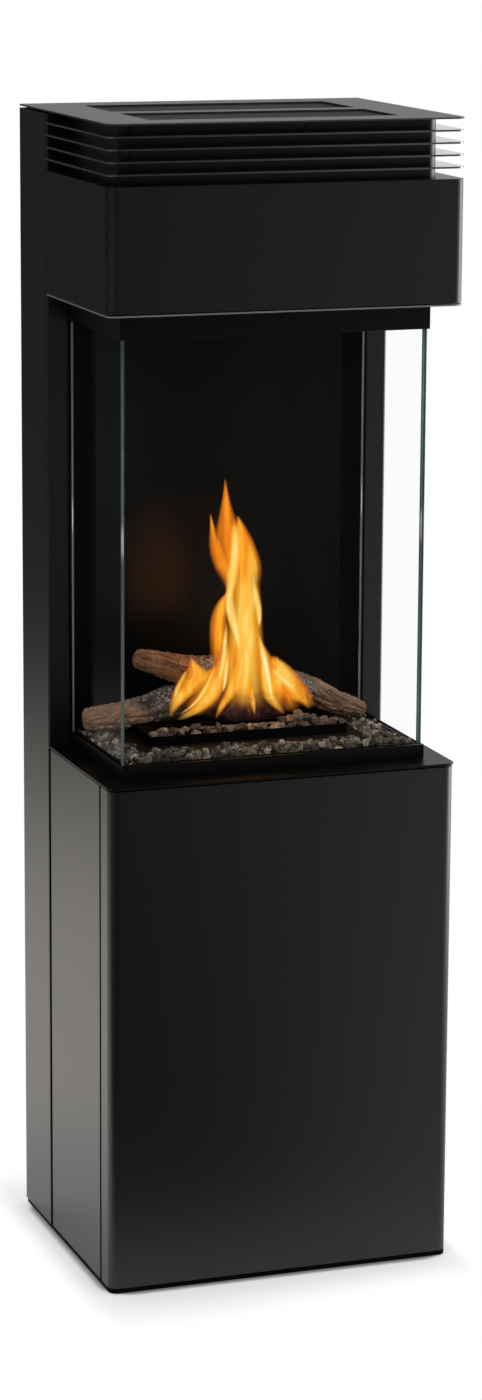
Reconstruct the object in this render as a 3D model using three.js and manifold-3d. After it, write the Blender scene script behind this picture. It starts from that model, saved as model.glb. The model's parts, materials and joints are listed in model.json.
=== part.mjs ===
// A free-standing bioethanol fireplace: a steel cabinet with a hinged door, a burner with ceramic
// logs and stones behind three panes of glass, a louvred hood, and a column behind them all.
// Millimetres. X to the right, -Y to the front, +Z up. The origin is the middle of the footprint,
// on the floor.
import * as THREE from "three";
import { mergeVertices } from "three/addons/utils/BufferGeometryUtils.js";
import Module from "manifold-3d";

const wasm = await Module();
wasm.setup();

// Driving sizes of the casing
const width = 400;
const depth = 324;
const columnDepth = 102; // the column, from its front face to its back
const steel = 1.5; // sheet of the casing
const fit = 0.3; // clearance between pieces that touch
const overrun = 5; // how far a cutter passes the face that it opens
const bend = 11; // outer radius of the bent front corners
const columnBend = 3; // outer radius of the column's folded corners

// Heights, stacked from the floor
const plinthHeight = 7;
const cabinetHeight = 560.5;
const shadowGap = 1.5; // dark line above the cabinet and below the hood's front
const slabThickness = 2.5;
const fireboxHeight = 503.2; // from the slab to the hood
const hoodPlateThickness = 1.8;
const fasciaHeight = 132;
const louvreCount = 4;
const louvrePitch = 13;
const louvreThickness = 2;
const topThickness = 1.8;
const columnGap = 2.2; // between the column and the top plate

const cabinetBottom = plinthHeight;
const cabinetTop = cabinetBottom + cabinetHeight;
const slabBottom = cabinetTop + shadowGap;
const slabTop = slabBottom + slabThickness;
const hoodBottom = slabTop + fireboxHeight;
const hoodPlateTop = hoodBottom + hoodPlateThickness;
const fasciaBottom = hoodPlateTop + shadowGap;
const fasciaTop = fasciaBottom + fasciaHeight;
const top = fasciaTop + (louvreCount + 1) * louvrePitch;
const topUnderside = top - topThickness;
const columnTop = topUnderside - columnGap;

// Plan lines of the casing
const half = width / 2;
const frontY = -depth / 2;
const rearY = depth / 2;
const columnY = rearY - columnDepth; // the column's front face
const deckRearY = columnY - fit; // where the slab and the hood end

// Base
const plinthInset = 1.5;
const plinthFloorGap = 1.5;
const footRadius = 15;
const footThickness = 4.2;
const footStudRadius = 4;
const footBossRadius = 8;
const footBossGap = 0.6;
const footInset = 33.5; // from the plinth's edge to the foot's axis

// Cabinet
const cabinetInset = 1;
const panelSeam = 3; // between door, side panel and column
const doorReturn = 33; // how far the door wraps round the sides
const panelFlange = 20;
const panelFrontFlange = 8;
const doorFlange = 14;
const railHeight = 21;
const railDepth = 20;
const gasketInset = 10;
const gasketWidth = 8;
const backPanelInset = 10;

// Door hinges
const hingeInset = 12; // from the door's side face to the pivot
const hingeSetback = 12; // from the side panel's front edge to the pivot
const hingeFromEnds = 70;
const hingePinRadius = 3;
const hingePinHeadRadius = 4.5;
const hingePinHead = 1.5;
const hingeEyeRadius = 5.5;
const hingeArmHeight = 16;
const hingeBarThickness = 4;
const hingeLegOffset = 15; // from the pivot to the near face of the arm's leg
const hingeLegThickness = 3;
const hingePadLength = 30;
const hingePadThickness = 2.5;
const hingeEarThickness = 3;
const hingePlateThickness = 2;
const hingePlateFront = 8;
const hingePlateRear = 20;

// Push latch
const latchWidth = 20;
const latchHeight = 16;
const latchLength = 60;
const latchFromSide = 49; // from the cabinet's side face to the near face of the latch
const latchSetback = 1; // from the side panel's front edge
const plungerRadius = 5;
const plungerTravel = 10;
const plungerEngaged = 24; // length of the plunger inside the latch with the door shut
const strikeThickness = 2;

// Firebox glass
const paneThickness = 4;
const paneInset = 27; // from the casing's side face to the outer face of a side pane
const frontPaneSetback = 38; // from the casing's front to the front pane
const glassFrameHeight = 15.2;
const glassFrameSide = 2; // wall of the lower frame outside the side panes
const glassFrameFront = 4.7; // wall of the lower frame outside the front pane
const glassFrameInner = 2;
const glassChannelFloor = 3.7;
const liftTravel = 12;
const glassOverlap = 13.5; // length of the panes hidden behind the collar
const collarHeight = 27.9;
const collarSkin = 1.2;
const collarPlay = 1.5; // between the panes and the collar's outer skin

// Firebox back
const backSheet = 1.2;
const backPanelLap = 3; // how far the back panel reaches past each side pane
const linerInset = 22.7; // from the glass frame's inner face to the liner's side
const linerThickness = 1.3;
const shieldInset = 52; // from the casing's side to the shield's side
const shieldDepth = 19;
const shieldShort = 18; // how far the shield stops from the firebox's bottom and top

// Burner
const sideStoneStrip = 36.7; // bed of stones between the glass frame and the deck's side
const frontStoneStrip = 26;
const deckRearGap = 3;
const deckHeight = 15.2;
const tankInset = 11.3; // from the burner frame's side to the tank's side
const tankFrontInset = 8.3;
const tankLapShare = 0.24; // of the open shutter's length, how far the tank reaches back under it
const tankDepth = 65;
const tankFlange = 4.3;
const woolHeight = 56;
const burnerInset = 15; // from the deck's side to the burner frame's side
const burnerFrontInset = 43.7;
const burnerRearInset = 2.7;
const burnerHeight = 10.7;
const gutterDepth = 21; // from the burner frame's front to the gutter's back
const gutterFloorRise = 3.2; // from the burner frame's underside to the gutter floor's underside
const mouthInset = 23; // from the burner frame's side to the mouth's side
const mouthFrontLedge = 1.5; // from the well's front wall to the mouth
const mouthRearLedge = 4.7; // from the mouth to the open shutter's front edge
const shutterThickness = 1.5;
const shutterInset = 11.3; // from the burner frame's side to the shutter's side
const shutterShort = 1.5; // how much the shutter is shorter than half the well
const travelShort = 1; // how much its travel is shorter than half the well
const shutterLedge = 6.7; // how far each ledge reaches under the shutter
const tabHeight = 5;
const tabWidth = 4;
const tabLength = 6;

// Stones and logs
const gravelLump = 1.2;
const gravelPitch = 13;
const gravelCell = 11; // mesh of the bed's surface
const gravelDepth = 14.2;
const gutterGravelDepth = 6.5;
const logSides = 12;
const logRings = 14;
const logRuggedShare = 0.05;
const logGirth = 40; // across the thickest log, about

// Hood
const hoodBoxSide = 22; // from the casing's side to the hood's inner box
const hoodBoxFront = 25;
const hoodBoxBend = 12;
const flueInset = 16.7; // from the glass frame's inner face to the flue's side
const flueFrontInset = 12.7;
const flueRearInset = 14.7;
const fasciaFlange = 10;
const baffleRise = 55;
const baffleFlange = 18;
const baffleFrontInset = 25; // from the inner box's front
const baffleRearInset = 29.7; // from the hood's rear edge

// Top plate
const slotInset = 60; // from the casing's side to the slots' ends
const slotEdge = 46; // from the casing's front and back to the slots
const slotBar = 26; // between the two slots
const slotCorner = 4;
const meshThickness = 1.5;
const meshRim = 6;
const strandPitch = 14;
const strandWidth = 6;
const strandLean = 30; // how far a strand leans sideways from the mesh's front to its back

const arcSegments = 4;
const roundSides = 20;

// Finishes
function finish(colour, roughness, metalness, more = {}) {
  return new THREE.MeshStandardMaterial({ color: colour, roughness, metalness, flatShading: true, ...more });
}
const blackPowder = () => finish(0x23221f, 0.55, 0.3);
const blackSheen = () => finish(0x1b1b1b, 0.35, 0.5);
const greySheen = () => finish(0x6e6e74, 0.35, 0.6);
const liningBlack = () => finish(0x151413, 0.7, 0.3);
const brownSteel = () => finish(0x2c221c, 0.6, 0.3);
const zinc = () => finish(0x9a9c9e, 0.4, 0.9);
const stainless = () => finish(0xa8a8a6, 0.3, 0.9);
const glass = () => finish(0xcfe2da, 0.05, 0, { transparent: true, opacity: 0.25 });
const white = () => finish(0xe6e2da, 0.9, 0);
const darkRubber = () => finish(0x1a1a1a, 0.85, 0);
const bark = () => finish(0x6a5140, 0.9, 0);
const ash = () => finish(0x8d8984, 0.95, 0);
const pebble = () => finish(0x7b6c5e, 0.9, 0);

// A rectangular block between two values along each axis, given in either order.
function block([x0, x1], [y0, y1], [z0, z1]) {
  const geometry = new THREE.BoxGeometry(Math.abs(x1 - x0), Math.abs(y1 - y0), Math.abs(z1 - z0));
  return geometry.translate((x0 + x1) / 2, (y0 + y1) / 2, (z0 + z1) / 2);
}

// A shape drawn in plan, raised between two heights.
function raise(shape, z0, z1) {
  const options = { depth: z1 - z0, bevelEnabled: false, curveSegments: arcSegments };
  return new THREE.ExtrudeGeometry(shape, options).translate(0, 0, z0);
}

// A plan outline, symmetric about X = 0, with round front corners and round or square rear ones.
function outline(halfWidth, y0, y1, frontRadius, rearRadius = 0) {
  const shape = new THREE.Shape();
  shape.moveTo(-halfWidth + frontRadius, y0);
  shape.lineTo(halfWidth - frontRadius, y0);
  shape.absarc(halfWidth - frontRadius, y0 + frontRadius, frontRadius, -Math.PI / 2, 0, false);
  if (rearRadius > 0) {
    shape.lineTo(halfWidth, y1 - rearRadius);
    shape.absarc(halfWidth - rearRadius, y1 - rearRadius, rearRadius, 0, Math.PI / 2, false);
    shape.absarc(-halfWidth + rearRadius, y1 - rearRadius, rearRadius, Math.PI / 2, Math.PI, false);
  } else {
    shape.lineTo(halfWidth, y1);
    shape.lineTo(-halfWidth, y1);
  }
  shape.lineTo(-halfWidth, y0 + frontRadius);
  shape.absarc(-halfWidth + frontRadius, y0 + frontRadius, frontRadius, Math.PI, 1.5 * Math.PI, false);
  return shape;
}

// A round rod along +Z from its base point.
function rod(x, y, radius, z0, z1) {
  const geometry = new THREE.CylinderGeometry(radius, radius, z1 - z0, roundSides);
  return geometry.rotateX(Math.PI / 2).translate(x, y, (z0 + z1) / 2);
}

// Joins and cuts
function solidOf(geometry) {
  const bare = geometry.clone();
  bare.deleteAttribute("normal");
  bare.deleteAttribute("uv");
  const merged = mergeVertices(bare);
  const triVerts = new Uint32Array(merged.index.array);
  const vertProperties = merged.attributes.position.array;
  return new wasm.Manifold(new wasm.Mesh({ numProp: 3, vertProperties, triVerts }));
}

function geometryOf(solid) {
  const mesh = solid.getMesh();
  const geometry = new THREE.BufferGeometry();
  geometry.setAttribute("position", new THREE.BufferAttribute(new Float32Array(mesh.vertProperties), 3));
  geometry.setIndex(new THREE.BufferAttribute(new Uint32Array(mesh.triVerts), 1));
  geometry.computeVertexNormals();
  return geometry;
}

function cut(whole, ...tools) {
  return geometryOf(tools.reduce((rest, tool) => rest.subtract(solidOf(tool)), solidOf(whole)));
}

function join(first, ...others) {
  return geometryOf(others.reduce((sum, other) => sum.add(solidOf(other)), solidOf(first)));
}

const part = new THREE.Group();

function place(name, geometry, material, group = part) {
  const mesh = new THREE.Mesh(geometry, material);
  mesh.name = name;
  group.add(mesh);
  return mesh;
}

// Base: a low plinth tray just inside the casing's outline, on four levelling feet
const plinthHalf = half - plinthInset;
const plinthFrontY = frontY + plinthInset;
const plinthRearY = rearY - plinthInset;
const plinthTop = plinthHeight - fit;
const plinthUnderside = plinthTop - steel;
const footX = plinthHalf - footInset;
const footY = plinthRearY - footInset;

// The plinth's outline, drawn in from its outer face.
function plinthOutline(inward) {
  return outline(
    plinthHalf - inward,
    plinthFrontY + inward,
    plinthRearY - inward,
    bend - plinthInset - inward,
    columnBend - plinthInset - inward,
  );
}

function addBase() {
  let plinth = cut(
    raise(plinthOutline(0), plinthFloorGap, plinthTop),
    raise(plinthOutline(steel), plinthFloorGap - overrun, plinthUnderside),
  );
  const studTop = plinthTop - fit;
  for (const sideX of [-1, 1]) {
    for (const sideY of [-1, 1]) {
      const [x, y] = [sideX * footX, sideY * footY];
      plinth = join(plinth, rod(x, y, footBossRadius, footThickness + footBossGap, plinthTop));
      plinth = cut(plinth, rod(x, y, footStudRadius + fit, 0, plinthTop + overrun));
      const foot = join(rod(0, 0, footRadius, 0, footThickness), rod(0, 0, footStudRadius, 0, studTop));
      const name = `foot_${sideY < 0 ? "front" : "rear"}_${sideX < 0 ? "left" : "right"}`;
      place(name, foot, darkRubber()).position.set(x, y, 0);
    }
  }
  place("plinth_base", plinth, liningBlack());
}

// Column: a folded cover that is open to the firebox and cleared for the hood's inner box
const hoodBoxHalf = half - hoodBoxSide;
const hoodBoxFrontY = frontY + hoodBoxFront;
const hoodBoxRearY = rearY - steel - fit;

function addColumn() {
  const floorTop = cabinetBottom + steel;
  const cover = cut(
    raise(outline(half, columnY, rearY, columnBend, columnBend), cabinetBottom, columnTop),
    raise(
      outline(half - steel, columnY + steel, rearY - steel, columnBend - steel, columnBend - steel),
      floorTop,
      columnTop + overrun,
    ),
    block(
      [-shieldHalf - fit, shieldHalf + fit],
      [columnY - overrun, columnY + steel + overrun],
      [floorTop, columnTop + overrun],
    ),
    block(
      [-hoodBoxHalf - fit, hoodBoxHalf + fit],
      [columnY - overrun, columnY + steel + overrun],
      [hoodBottom, columnTop + overrun],
    ),
  );
  place("rear_cover", cover, blackPowder());
}

// Cabinet: two folded side panels, a back panel, a front rail, and the gasket under the slab
const cabinetHalf = half - cabinetInset;
const doorFrontY = frontY + cabinetInset;
const doorRearY = doorFrontY + doorReturn;
const panelFrontY = doorRearY + panelSeam;
const panelRearY = columnY - panelSeam;

function addSidePanel(side) {
  const skin = side * cabinetHalf;
  const inner = side * (cabinetHalf - steel);
  const past = side * (cabinetHalf - panelFlange - overrun);
  const heights = [cabinetBottom + steel, cabinetTop - steel];
  const panel = cut(
    block(
      [skin, side * (cabinetHalf - panelFlange)],
      [panelFrontY, panelRearY],
      [cabinetBottom, cabinetTop],
    ),
    block([inner, past], [panelFrontY + steel, panelRearY - steel], heights),
    block(
      [side * (cabinetHalf - panelFrontFlange), past],
      [panelFrontY - overrun, panelFrontY + overrun],
      heights,
    ),
  );
  place(side < 0 ? "left_side_panel" : "right_side_panel", panel, blackPowder());
}

const railHalf = cabinetHalf - steel - fit;
const railTop = cabinetTop - steel - fit;
const railBottom = railTop - railHeight;
const railFrontY = panelFrontY + steel + fit;

function addCabinet() {
  addSidePanel(-1);
  addSidePanel(1);
  const backHalf = cabinetHalf - backPanelInset;
  const backY = [deckRearY - steel, deckRearY];
  const backPanel = block([-backHalf, backHalf], backY, [cabinetBottom, slabBottom - fit]);
  place("cabinet_back_panel", backPanel, liningBlack());
  const rail = cut(
    block([-railHalf, railHalf], [railFrontY, railFrontY + railDepth], [railBottom, railTop]),
    block(
      [-railHalf - overrun, railHalf + overrun],
      [railFrontY + steel, railFrontY + railDepth + overrun],
      [railBottom + steel, railTop - steel],
    ),
  );
  place("cabinet_front_rail", rail, liningBlack());
  const gasketHalf = cabinetHalf - gasketInset;
  const gasketY = [panelFrontY + gasketWidth / 2, backY[0] - fit];
  const gasketZ = [cabinetTop + fit, slabBottom - fit];
  const gasket = cut(
    block([-gasketHalf, gasketHalf], gasketY, gasketZ),
    block(
      [-gasketHalf + gasketWidth, gasketHalf - gasketWidth],
      [gasketY[0] + gasketWidth, gasketY[1] - gasketWidth],
      [gasketZ[0] - overrun, gasketZ[1] + overrun],
    ),
  );
  place("slab_gasket", gasket, darkRubber());
}

// Door: a folded front with round corners that wraps round both sides, on two offset hinges
const hingeX = cabinetHalf - hingeInset;
const hingeY = panelFrontY + hingeSetback;
const doorInnerY = doorFrontY + steel;
const padFaceY = doorInnerY + fit;

function addDoor(group) {
  const flangeHeights = [cabinetBottom + steel, cabinetTop - steel];
  const door = cut(
    raise(outline(cabinetHalf, doorFrontY, doorRearY, bend), cabinetBottom, cabinetTop),
    raise(outline(cabinetHalf - steel, doorInnerY, doorRearY + overrun, bend - steel), ...flangeHeights),
    block(
      [-cabinetHalf + steel, cabinetHalf - steel],
      [doorInnerY + doorFlange, doorRearY + overrun],
      [cabinetBottom - overrun, cabinetTop + overrun],
    ),
  );
  place("cabinet_door", door, blackPowder(), group);
}

function hingeArm() {
  const legFar = -hingeLegOffset - hingeLegThickness;
  const padY = padFaceY - hingeY;
  const heights = [0, hingeArmHeight];
  return cut(
    join(
      rod(0, 0, hingeEyeRadius, ...heights),
      block([legFar, 0], [-hingeBarThickness / 2, hingeBarThickness / 2], heights),
      block([legFar, -hingeLegOffset], [padY, hingeBarThickness / 2], heights),
      block([legFar - hingePadLength, -hingeLegOffset], [padY, padY + hingePadThickness], heights),
    ),
    rod(0, 0, hingePinRadius + fit, -overrun, hingeArmHeight + overrun),
  );
}

function hingeBracket() {
  const wall = hingeInset - steel - fit;
  const lower = [-fit - hingeEarThickness, -fit];
  const upper = [hingeArmHeight + fit, hingeArmHeight + fit + hingeEarThickness];
  const ears = [lower, upper].flatMap((heights) => [
    rod(0, 0, hingeEyeRadius, ...heights),
    block([0, wall], [-hingeEyeRadius, hingeEyeRadius], heights),
  ]);
  const plate = block(
    [wall - hingePlateThickness, wall],
    [-hingePlateFront, hingePlateRear],
    [lower[0], upper[1]],
  );
  return cut(join(plate, ...ears), rod(0, 0, hingePinRadius + fit, lower[0] - overrun, upper[1] + overrun));
}

function hingePin() {
  const bottom = -fit - hingeEarThickness;
  const head = hingeArmHeight + fit + hingeEarThickness + fit;
  return join(
    rod(0, 0, hingePinRadius, bottom, head + hingePinHead),
    rod(0, 0, hingePinHeadRadius, head, head + hingePinHead),
  );
}

function addHinges(doorGroup) {
  const rows = [
    ["lower", cabinetBottom + hingeFromEnds],
    ["upper", cabinetTop - hingeFromEnds - hingeArmHeight],
  ];
  for (const [row, z] of rows) {
    place(`hinge_arm_${row}`, hingeArm(), zinc(), doorGroup).position.set(hingeX, hingeY, z);
    place(`hinge_bracket_${row}`, hingeBracket(), zinc()).position.set(hingeX, hingeY, z);
    place(`hinge_pin_${row}`, hingePin(), stainless()).position.set(hingeX, hingeY, z);
  }
}

// Push latch: a sprung plunger in a body under the front rail, against a strike on the door
const latchTop = railBottom - fit;
const latchX = -cabinetHalf + latchFromSide + latchWidth / 2;
const latchZ = latchTop - latchHeight / 2;
const latchFrontY = panelFrontY + latchSetback;
const strikeY = [padFaceY, padFaceY + strikeThickness];

// A round bar along Y, centred on the latch.
function latchBar(radius, y0, y1) {
  const bar = new THREE.CylinderGeometry(radius, radius, y1 - y0, roundSides);
  return bar.translate(latchX, (y0 + y1) / 2, latchZ);
}

function addLatch(doorGroup) {
  const sides = [latchX - latchWidth / 2, latchX + latchWidth / 2];
  const heights = [latchTop - latchHeight, latchTop];
  const boreEnd = latchFrontY + plungerEngaged + plungerTravel;
  const body = cut(
    block(sides, [latchFrontY, latchFrontY + latchLength], heights),
    latchBar(plungerRadius + fit, latchFrontY - overrun, boreEnd),
  );
  place("push_latch_body", body, darkRubber());
  const plunger = latchBar(plungerRadius, strikeY[1] + fit, latchFrontY + plungerEngaged);
  place("push_latch_plunger", plunger, zinc());
  place("door_strike_plate", block(sides, strikeY, heights), zinc(), doorGroup);
}

// Slab over the cabinet, with the burner's opening
function burnerOpening(z0, z1) {
  return block([-tankHalf - fit, tankHalf + fit], [tankFrontY - fit, tankRearY + fit], [z0, z1]);
}

function addSlab() {
  const slab = raise(outline(half, frontY, deckRearY, bend), slabBottom, slabTop);
  place("base_top_slab", cut(slab, burnerOpening(slabBottom - overrun, slabTop + overrun)), blackSheen());
}

// Glass: three panes that stand in a channelled frame and reach up behind a collar
const paneX = half - paneInset;
const paneY = frontY + frontPaneSetback;
const paneRearY = deckRearY - backSheet - fit;
const frameBottom = slabTop + fit;
const frameTop = frameBottom + glassFrameHeight;
const paneBottom = frameBottom + glassChannelFloor + fit;
const collarTop = hoodBottom - fit;
const collarBottom = collarTop - collarHeight;
const paneTop = collarBottom + glassOverlap;
const frameInnerX = paneX - paneThickness - fit - glassFrameInner;
const frameInnerY = paneY + paneThickness + fit + glassFrameInner;

// A band that runs round the left, front and right sides, between an outer and an inner line.
function band(outerX, outerY, innerX, innerY, z0, z1, radius = 0, rearOverrun = 0) {
  return cut(
    raise(outline(outerX, outerY, paneRearY + rearOverrun, radius), z0, z1),
    block([-innerX, innerX], [innerY, paneRearY + rearOverrun + overrun], [z0 - overrun, z1 + overrun]),
  );
}

function addGlass(liftGroup) {
  const frame = cut(
    band(paneX + glassFrameSide, paneY - glassFrameFront, frameInnerX, frameInnerY, frameBottom, frameTop),
    band(
      paneX + fit,
      paneY - fit,
      paneX - paneThickness - fit,
      paneY + paneThickness + fit,
      frameBottom + glassChannelFloor,
      frameTop + overrun,
      0,
      overrun,
    ),
  );
  place("lower_glass_frame", frame, blackSheen());
  const collarX = paneX + collarPlay + collarSkin;
  const collarY = paneY - collarPlay - collarSkin;
  const collar = cut(
    band(collarX, collarY, frameInnerX, frameInnerY, collarBottom, collarTop, collarSkin),
    band(
      collarX - collarSkin,
      collarY + collarSkin,
      frameInnerX + collarSkin,
      frameInnerY - collarSkin,
      collarBottom - overrun,
      collarTop - collarSkin,
      0,
      overrun,
    ),
  );
  place("upper_glass_collar", collar, blackSheen());
  const heights = [paneBottom, paneTop];
  for (const side of [-1, 1]) {
    const across = [side * paneX, side * (paneX - paneThickness)];
    const along = [paneY + paneThickness + fit, paneRearY];
    place(side < 0 ? "left_glass_pane" : "right_glass_pane", block(across, along, heights), glass());
  }
  const frontPane = block([-paneX, paneX], [paneY, paneY + paneThickness], heights);
  place("front_glass_pane", frontPane, glass(), liftGroup);
}

// Firebox back: a panel on the column, a liner before it and a heat shield behind it
const backPanelHalf = paneX + backPanelLap;
const linerHalf = frameInnerX - linerInset;
const shieldHalf = half - shieldInset;

function addFireboxBack() {
  const heights = [slabTop + fit, hoodBottom - fit];
  const panelY = [deckRearY - backSheet, deckRearY];
  place("firebox_back_panel", block([-backPanelHalf, backPanelHalf], panelY, heights), liningBlack());
  const linerY = [panelY[0] - fit - linerThickness, panelY[0] - fit];
  place("firebox_back_liner", block([-linerHalf, linerHalf], linerY, heights), liningBlack());
  const shieldY = [deckRearY + fit, deckRearY + fit + shieldDepth];
  const shieldZ = [slabTop + shieldShort, hoodBottom - shieldShort];
  const shield = cut(
    block([-shieldHalf, shieldHalf], shieldY, shieldZ),
    block(
      [-shieldHalf + backSheet, shieldHalf - backSheet],
      [shieldY[0] - overrun, shieldY[1] - backSheet],
      [shieldZ[0] - overrun, shieldZ[1] + overrun],
    ),
  );
  place("heat_shield", shield, zinc());
}

// Burner: a deck on the slab, a fuel tank that hangs in it, a frame with a stone gutter over the
// tank, and a shutter that slides under the frame's top to close the mouth
const deckHalf = frameInnerX - sideStoneStrip;
const deckFrontY = frameInnerY + frontStoneStrip;
const deckBackY = deckRearY - deckRearGap;
const burnerHalf = deckHalf - burnerInset;
const burnerFrontY = deckFrontY + burnerFrontInset;
const burnerRearY = deckBackY - burnerRearInset;
const gutterRearY = burnerFrontY + gutterDepth;
const wellY = [gutterRearY + steel, burnerRearY - steel];
const halfWell = (wellY[1] - wellY[0]) / 2;
const deckTop = slabTop + fit + deckHeight;
const burnerBottom = deckTop + fit;
const burnerTop = burnerBottom + burnerHeight;
const burnerUnderside = burnerTop - steel;
const tankFlangeTop = burnerBottom + steel;
const gutterFloor = burnerBottom + gutterFloorRise + steel;
const shutterTop = burnerUnderside - fit;
const shutterBottom = shutterTop - shutterThickness;
const shutterHalf = burnerHalf - shutterInset;
const shutterLength = halfWell - shutterShort;
const shutterTravel = halfWell - travelShort;
const shutterRearY = wellY[1] - fit;
const shutterFrontY = shutterRearY - shutterLength;
const ledgeHalf = shutterHalf - shutterLedge;
const mouthHalf = burnerHalf - mouthInset;
const mouthFrontY = wellY[0] + mouthFrontLedge;
const mouthRearY = shutterFrontY - mouthRearLedge;
const tankHalf = burnerHalf - tankInset;
const tankFrontY = burnerFrontY + tankFrontInset;
const tankRearY = shutterFrontY + tankLapShare * shutterLength;
const tabX = (mouthHalf + shutterHalf + shutterLedge) / 2 - tabWidth / 2;

function addDeck() {
  const bottom = slabTop + fit;
  const deck = cut(
    block([-deckHalf, deckHalf], [deckFrontY, deckBackY], [bottom, deckTop]),
    block(
      [-deckHalf + steel, deckHalf - steel],
      [deckFrontY + steel, deckBackY - steel],
      [bottom - overrun, deckTop - steel],
    ),
    burnerOpening(bottom - overrun, deckTop + overrun),
  );
  place("burner_deck", deck, brownSteel());
}

function addTank() {
  const tankBottom = burnerBottom - tankDepth;
  const tank = cut(
    join(
      block([-tankHalf, tankHalf], [tankFrontY, tankRearY], [tankBottom, tankFlangeTop]),
      block(
        [-tankHalf - tankFlange, tankHalf + tankFlange],
        [tankFrontY - tankFlange, tankRearY + tankFlange],
        [burnerBottom, tankFlangeTop],
      ),
    ),
    block(
      [-tankHalf + steel, tankHalf - steel],
      [tankFrontY + steel, tankRearY - steel],
      [tankBottom + steel, tankFlangeTop + overrun],
    ),
  );
  place("fuel_tank", tank, stainless());
  const woolHalf = tankHalf - steel - fit;
  const woolY = [tankFrontY + steel + fit, tankRearY - steel - fit];
  const woolBottom = tankBottom + steel + fit;
  place("ceramic_wool", block([-woolHalf, woolHalf], woolY, [woolBottom, woolBottom + woolHeight]), white());
}

function addBurnerFrame() {
  const wallHalf = burnerHalf - steel;
  const below = burnerBottom - overrun;
  const above = burnerTop + overrun;
  const tabFrontY = shutterFrontY + tabLength - shutterTravel;
  const frame = cut(
    block([-burnerHalf, burnerHalf], [burnerFrontY, burnerRearY], [burnerBottom, burnerTop]),
    block([-wallHalf, wallHalf], [burnerFrontY + steel, burnerRearY - steel], [below, gutterFloor - steel]),
    block([-ledgeHalf, ledgeHalf], wellY, [below, burnerUnderside]),
    block([-shutterHalf - fit, shutterHalf + fit], wellY, [shutterBottom - fit, burnerUnderside]),
    block([-wallHalf, wallHalf], [burnerFrontY + steel, gutterRearY], [gutterFloor, above]),
    block([-mouthHalf, mouthHalf], [mouthFrontY, mouthRearY], [burnerUnderside - fit, above]),
    block(
      [tabX - tabWidth / 2 - fit, tabX + tabWidth / 2 + fit],
      [tabFrontY - tabLength - fit, shutterFrontY + tabLength + fit],
      [burnerUnderside - fit, above],
    ),
  );
  place("burner_frame", frame, blackSheen());
}

function addShutter(group) {
  const shutter = join(
    block([-shutterHalf, shutterHalf], [shutterFrontY, shutterRearY], [shutterBottom, shutterTop]),
    block(
      [tabX - tabWidth / 2, tabX + tabWidth / 2],
      [shutterFrontY, shutterFrontY + tabLength],
      [shutterBottom, shutterTop + tabHeight],
    ),
  );
  place("burner_shutter", shutter, stainless(), group);
}

// A bed of stones: a block whose top rises and falls with the stones' pitch, and whose underside
// stays flat.
function gravelBed([x0, x1], [y0, y1], z0, bedDepth) {
  const cells = (length) => Math.max(2, Math.round(length / gravelCell));
  const size = [x1 - x0, y1 - y0, bedDepth];
  const bed = new THREE.BoxGeometry(...size, cells(size[0]), cells(size[1]), 1);
  bed.translate((x0 + x1) / 2, (y0 + y1) / 2, z0 + bedDepth / 2);
  const position = bed.attributes.position;
  const turn = (2 * Math.PI) / gravelPitch;
  for (let i = 0; i < position.count; i += 1) {
    if (position.getZ(i) < z0 + bedDepth / 2) continue;
    const [x, y] = [position.getX(i), position.getY(i)];
    const swell = Math.sin(x * turn * 0.83) * Math.cos(y * turn * 0.71) - 1;
    position.setZ(i, z0 + bedDepth + (gravelLump * swell) / 2);
  }
  return bed;
}

function addGravel() {
  const bottom = slabTop + fit;
  const outerX = frameInnerX - fit;
  const frontEdge = frameInnerY + fit;
  const sideY = [deckFrontY, deckBackY - fit];
  const front = gravelBed([-outerX, outerX], [frontEdge, deckFrontY - fit], bottom, gravelDepth);
  const left = gravelBed([-outerX, -deckHalf - fit], sideY, bottom, gravelDepth);
  const right = gravelBed([deckHalf + fit, outerX], sideY, bottom, gravelDepth);
  place("gravel_front", front, pebble());
  place("gravel_left", left, pebble());
  place("gravel_right", right, pebble());
  const gutterHalf = burnerHalf - steel - fit;
  const gutterY = [burnerFrontY + steel + fit, gutterRearY - fit];
  const gutter = gravelBed([-gutterHalf, gutterHalf], gutterY, gutterFloor + fit, gutterGravelDepth);
  place("gravel_gutter", gutter, pebble());
}

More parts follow.
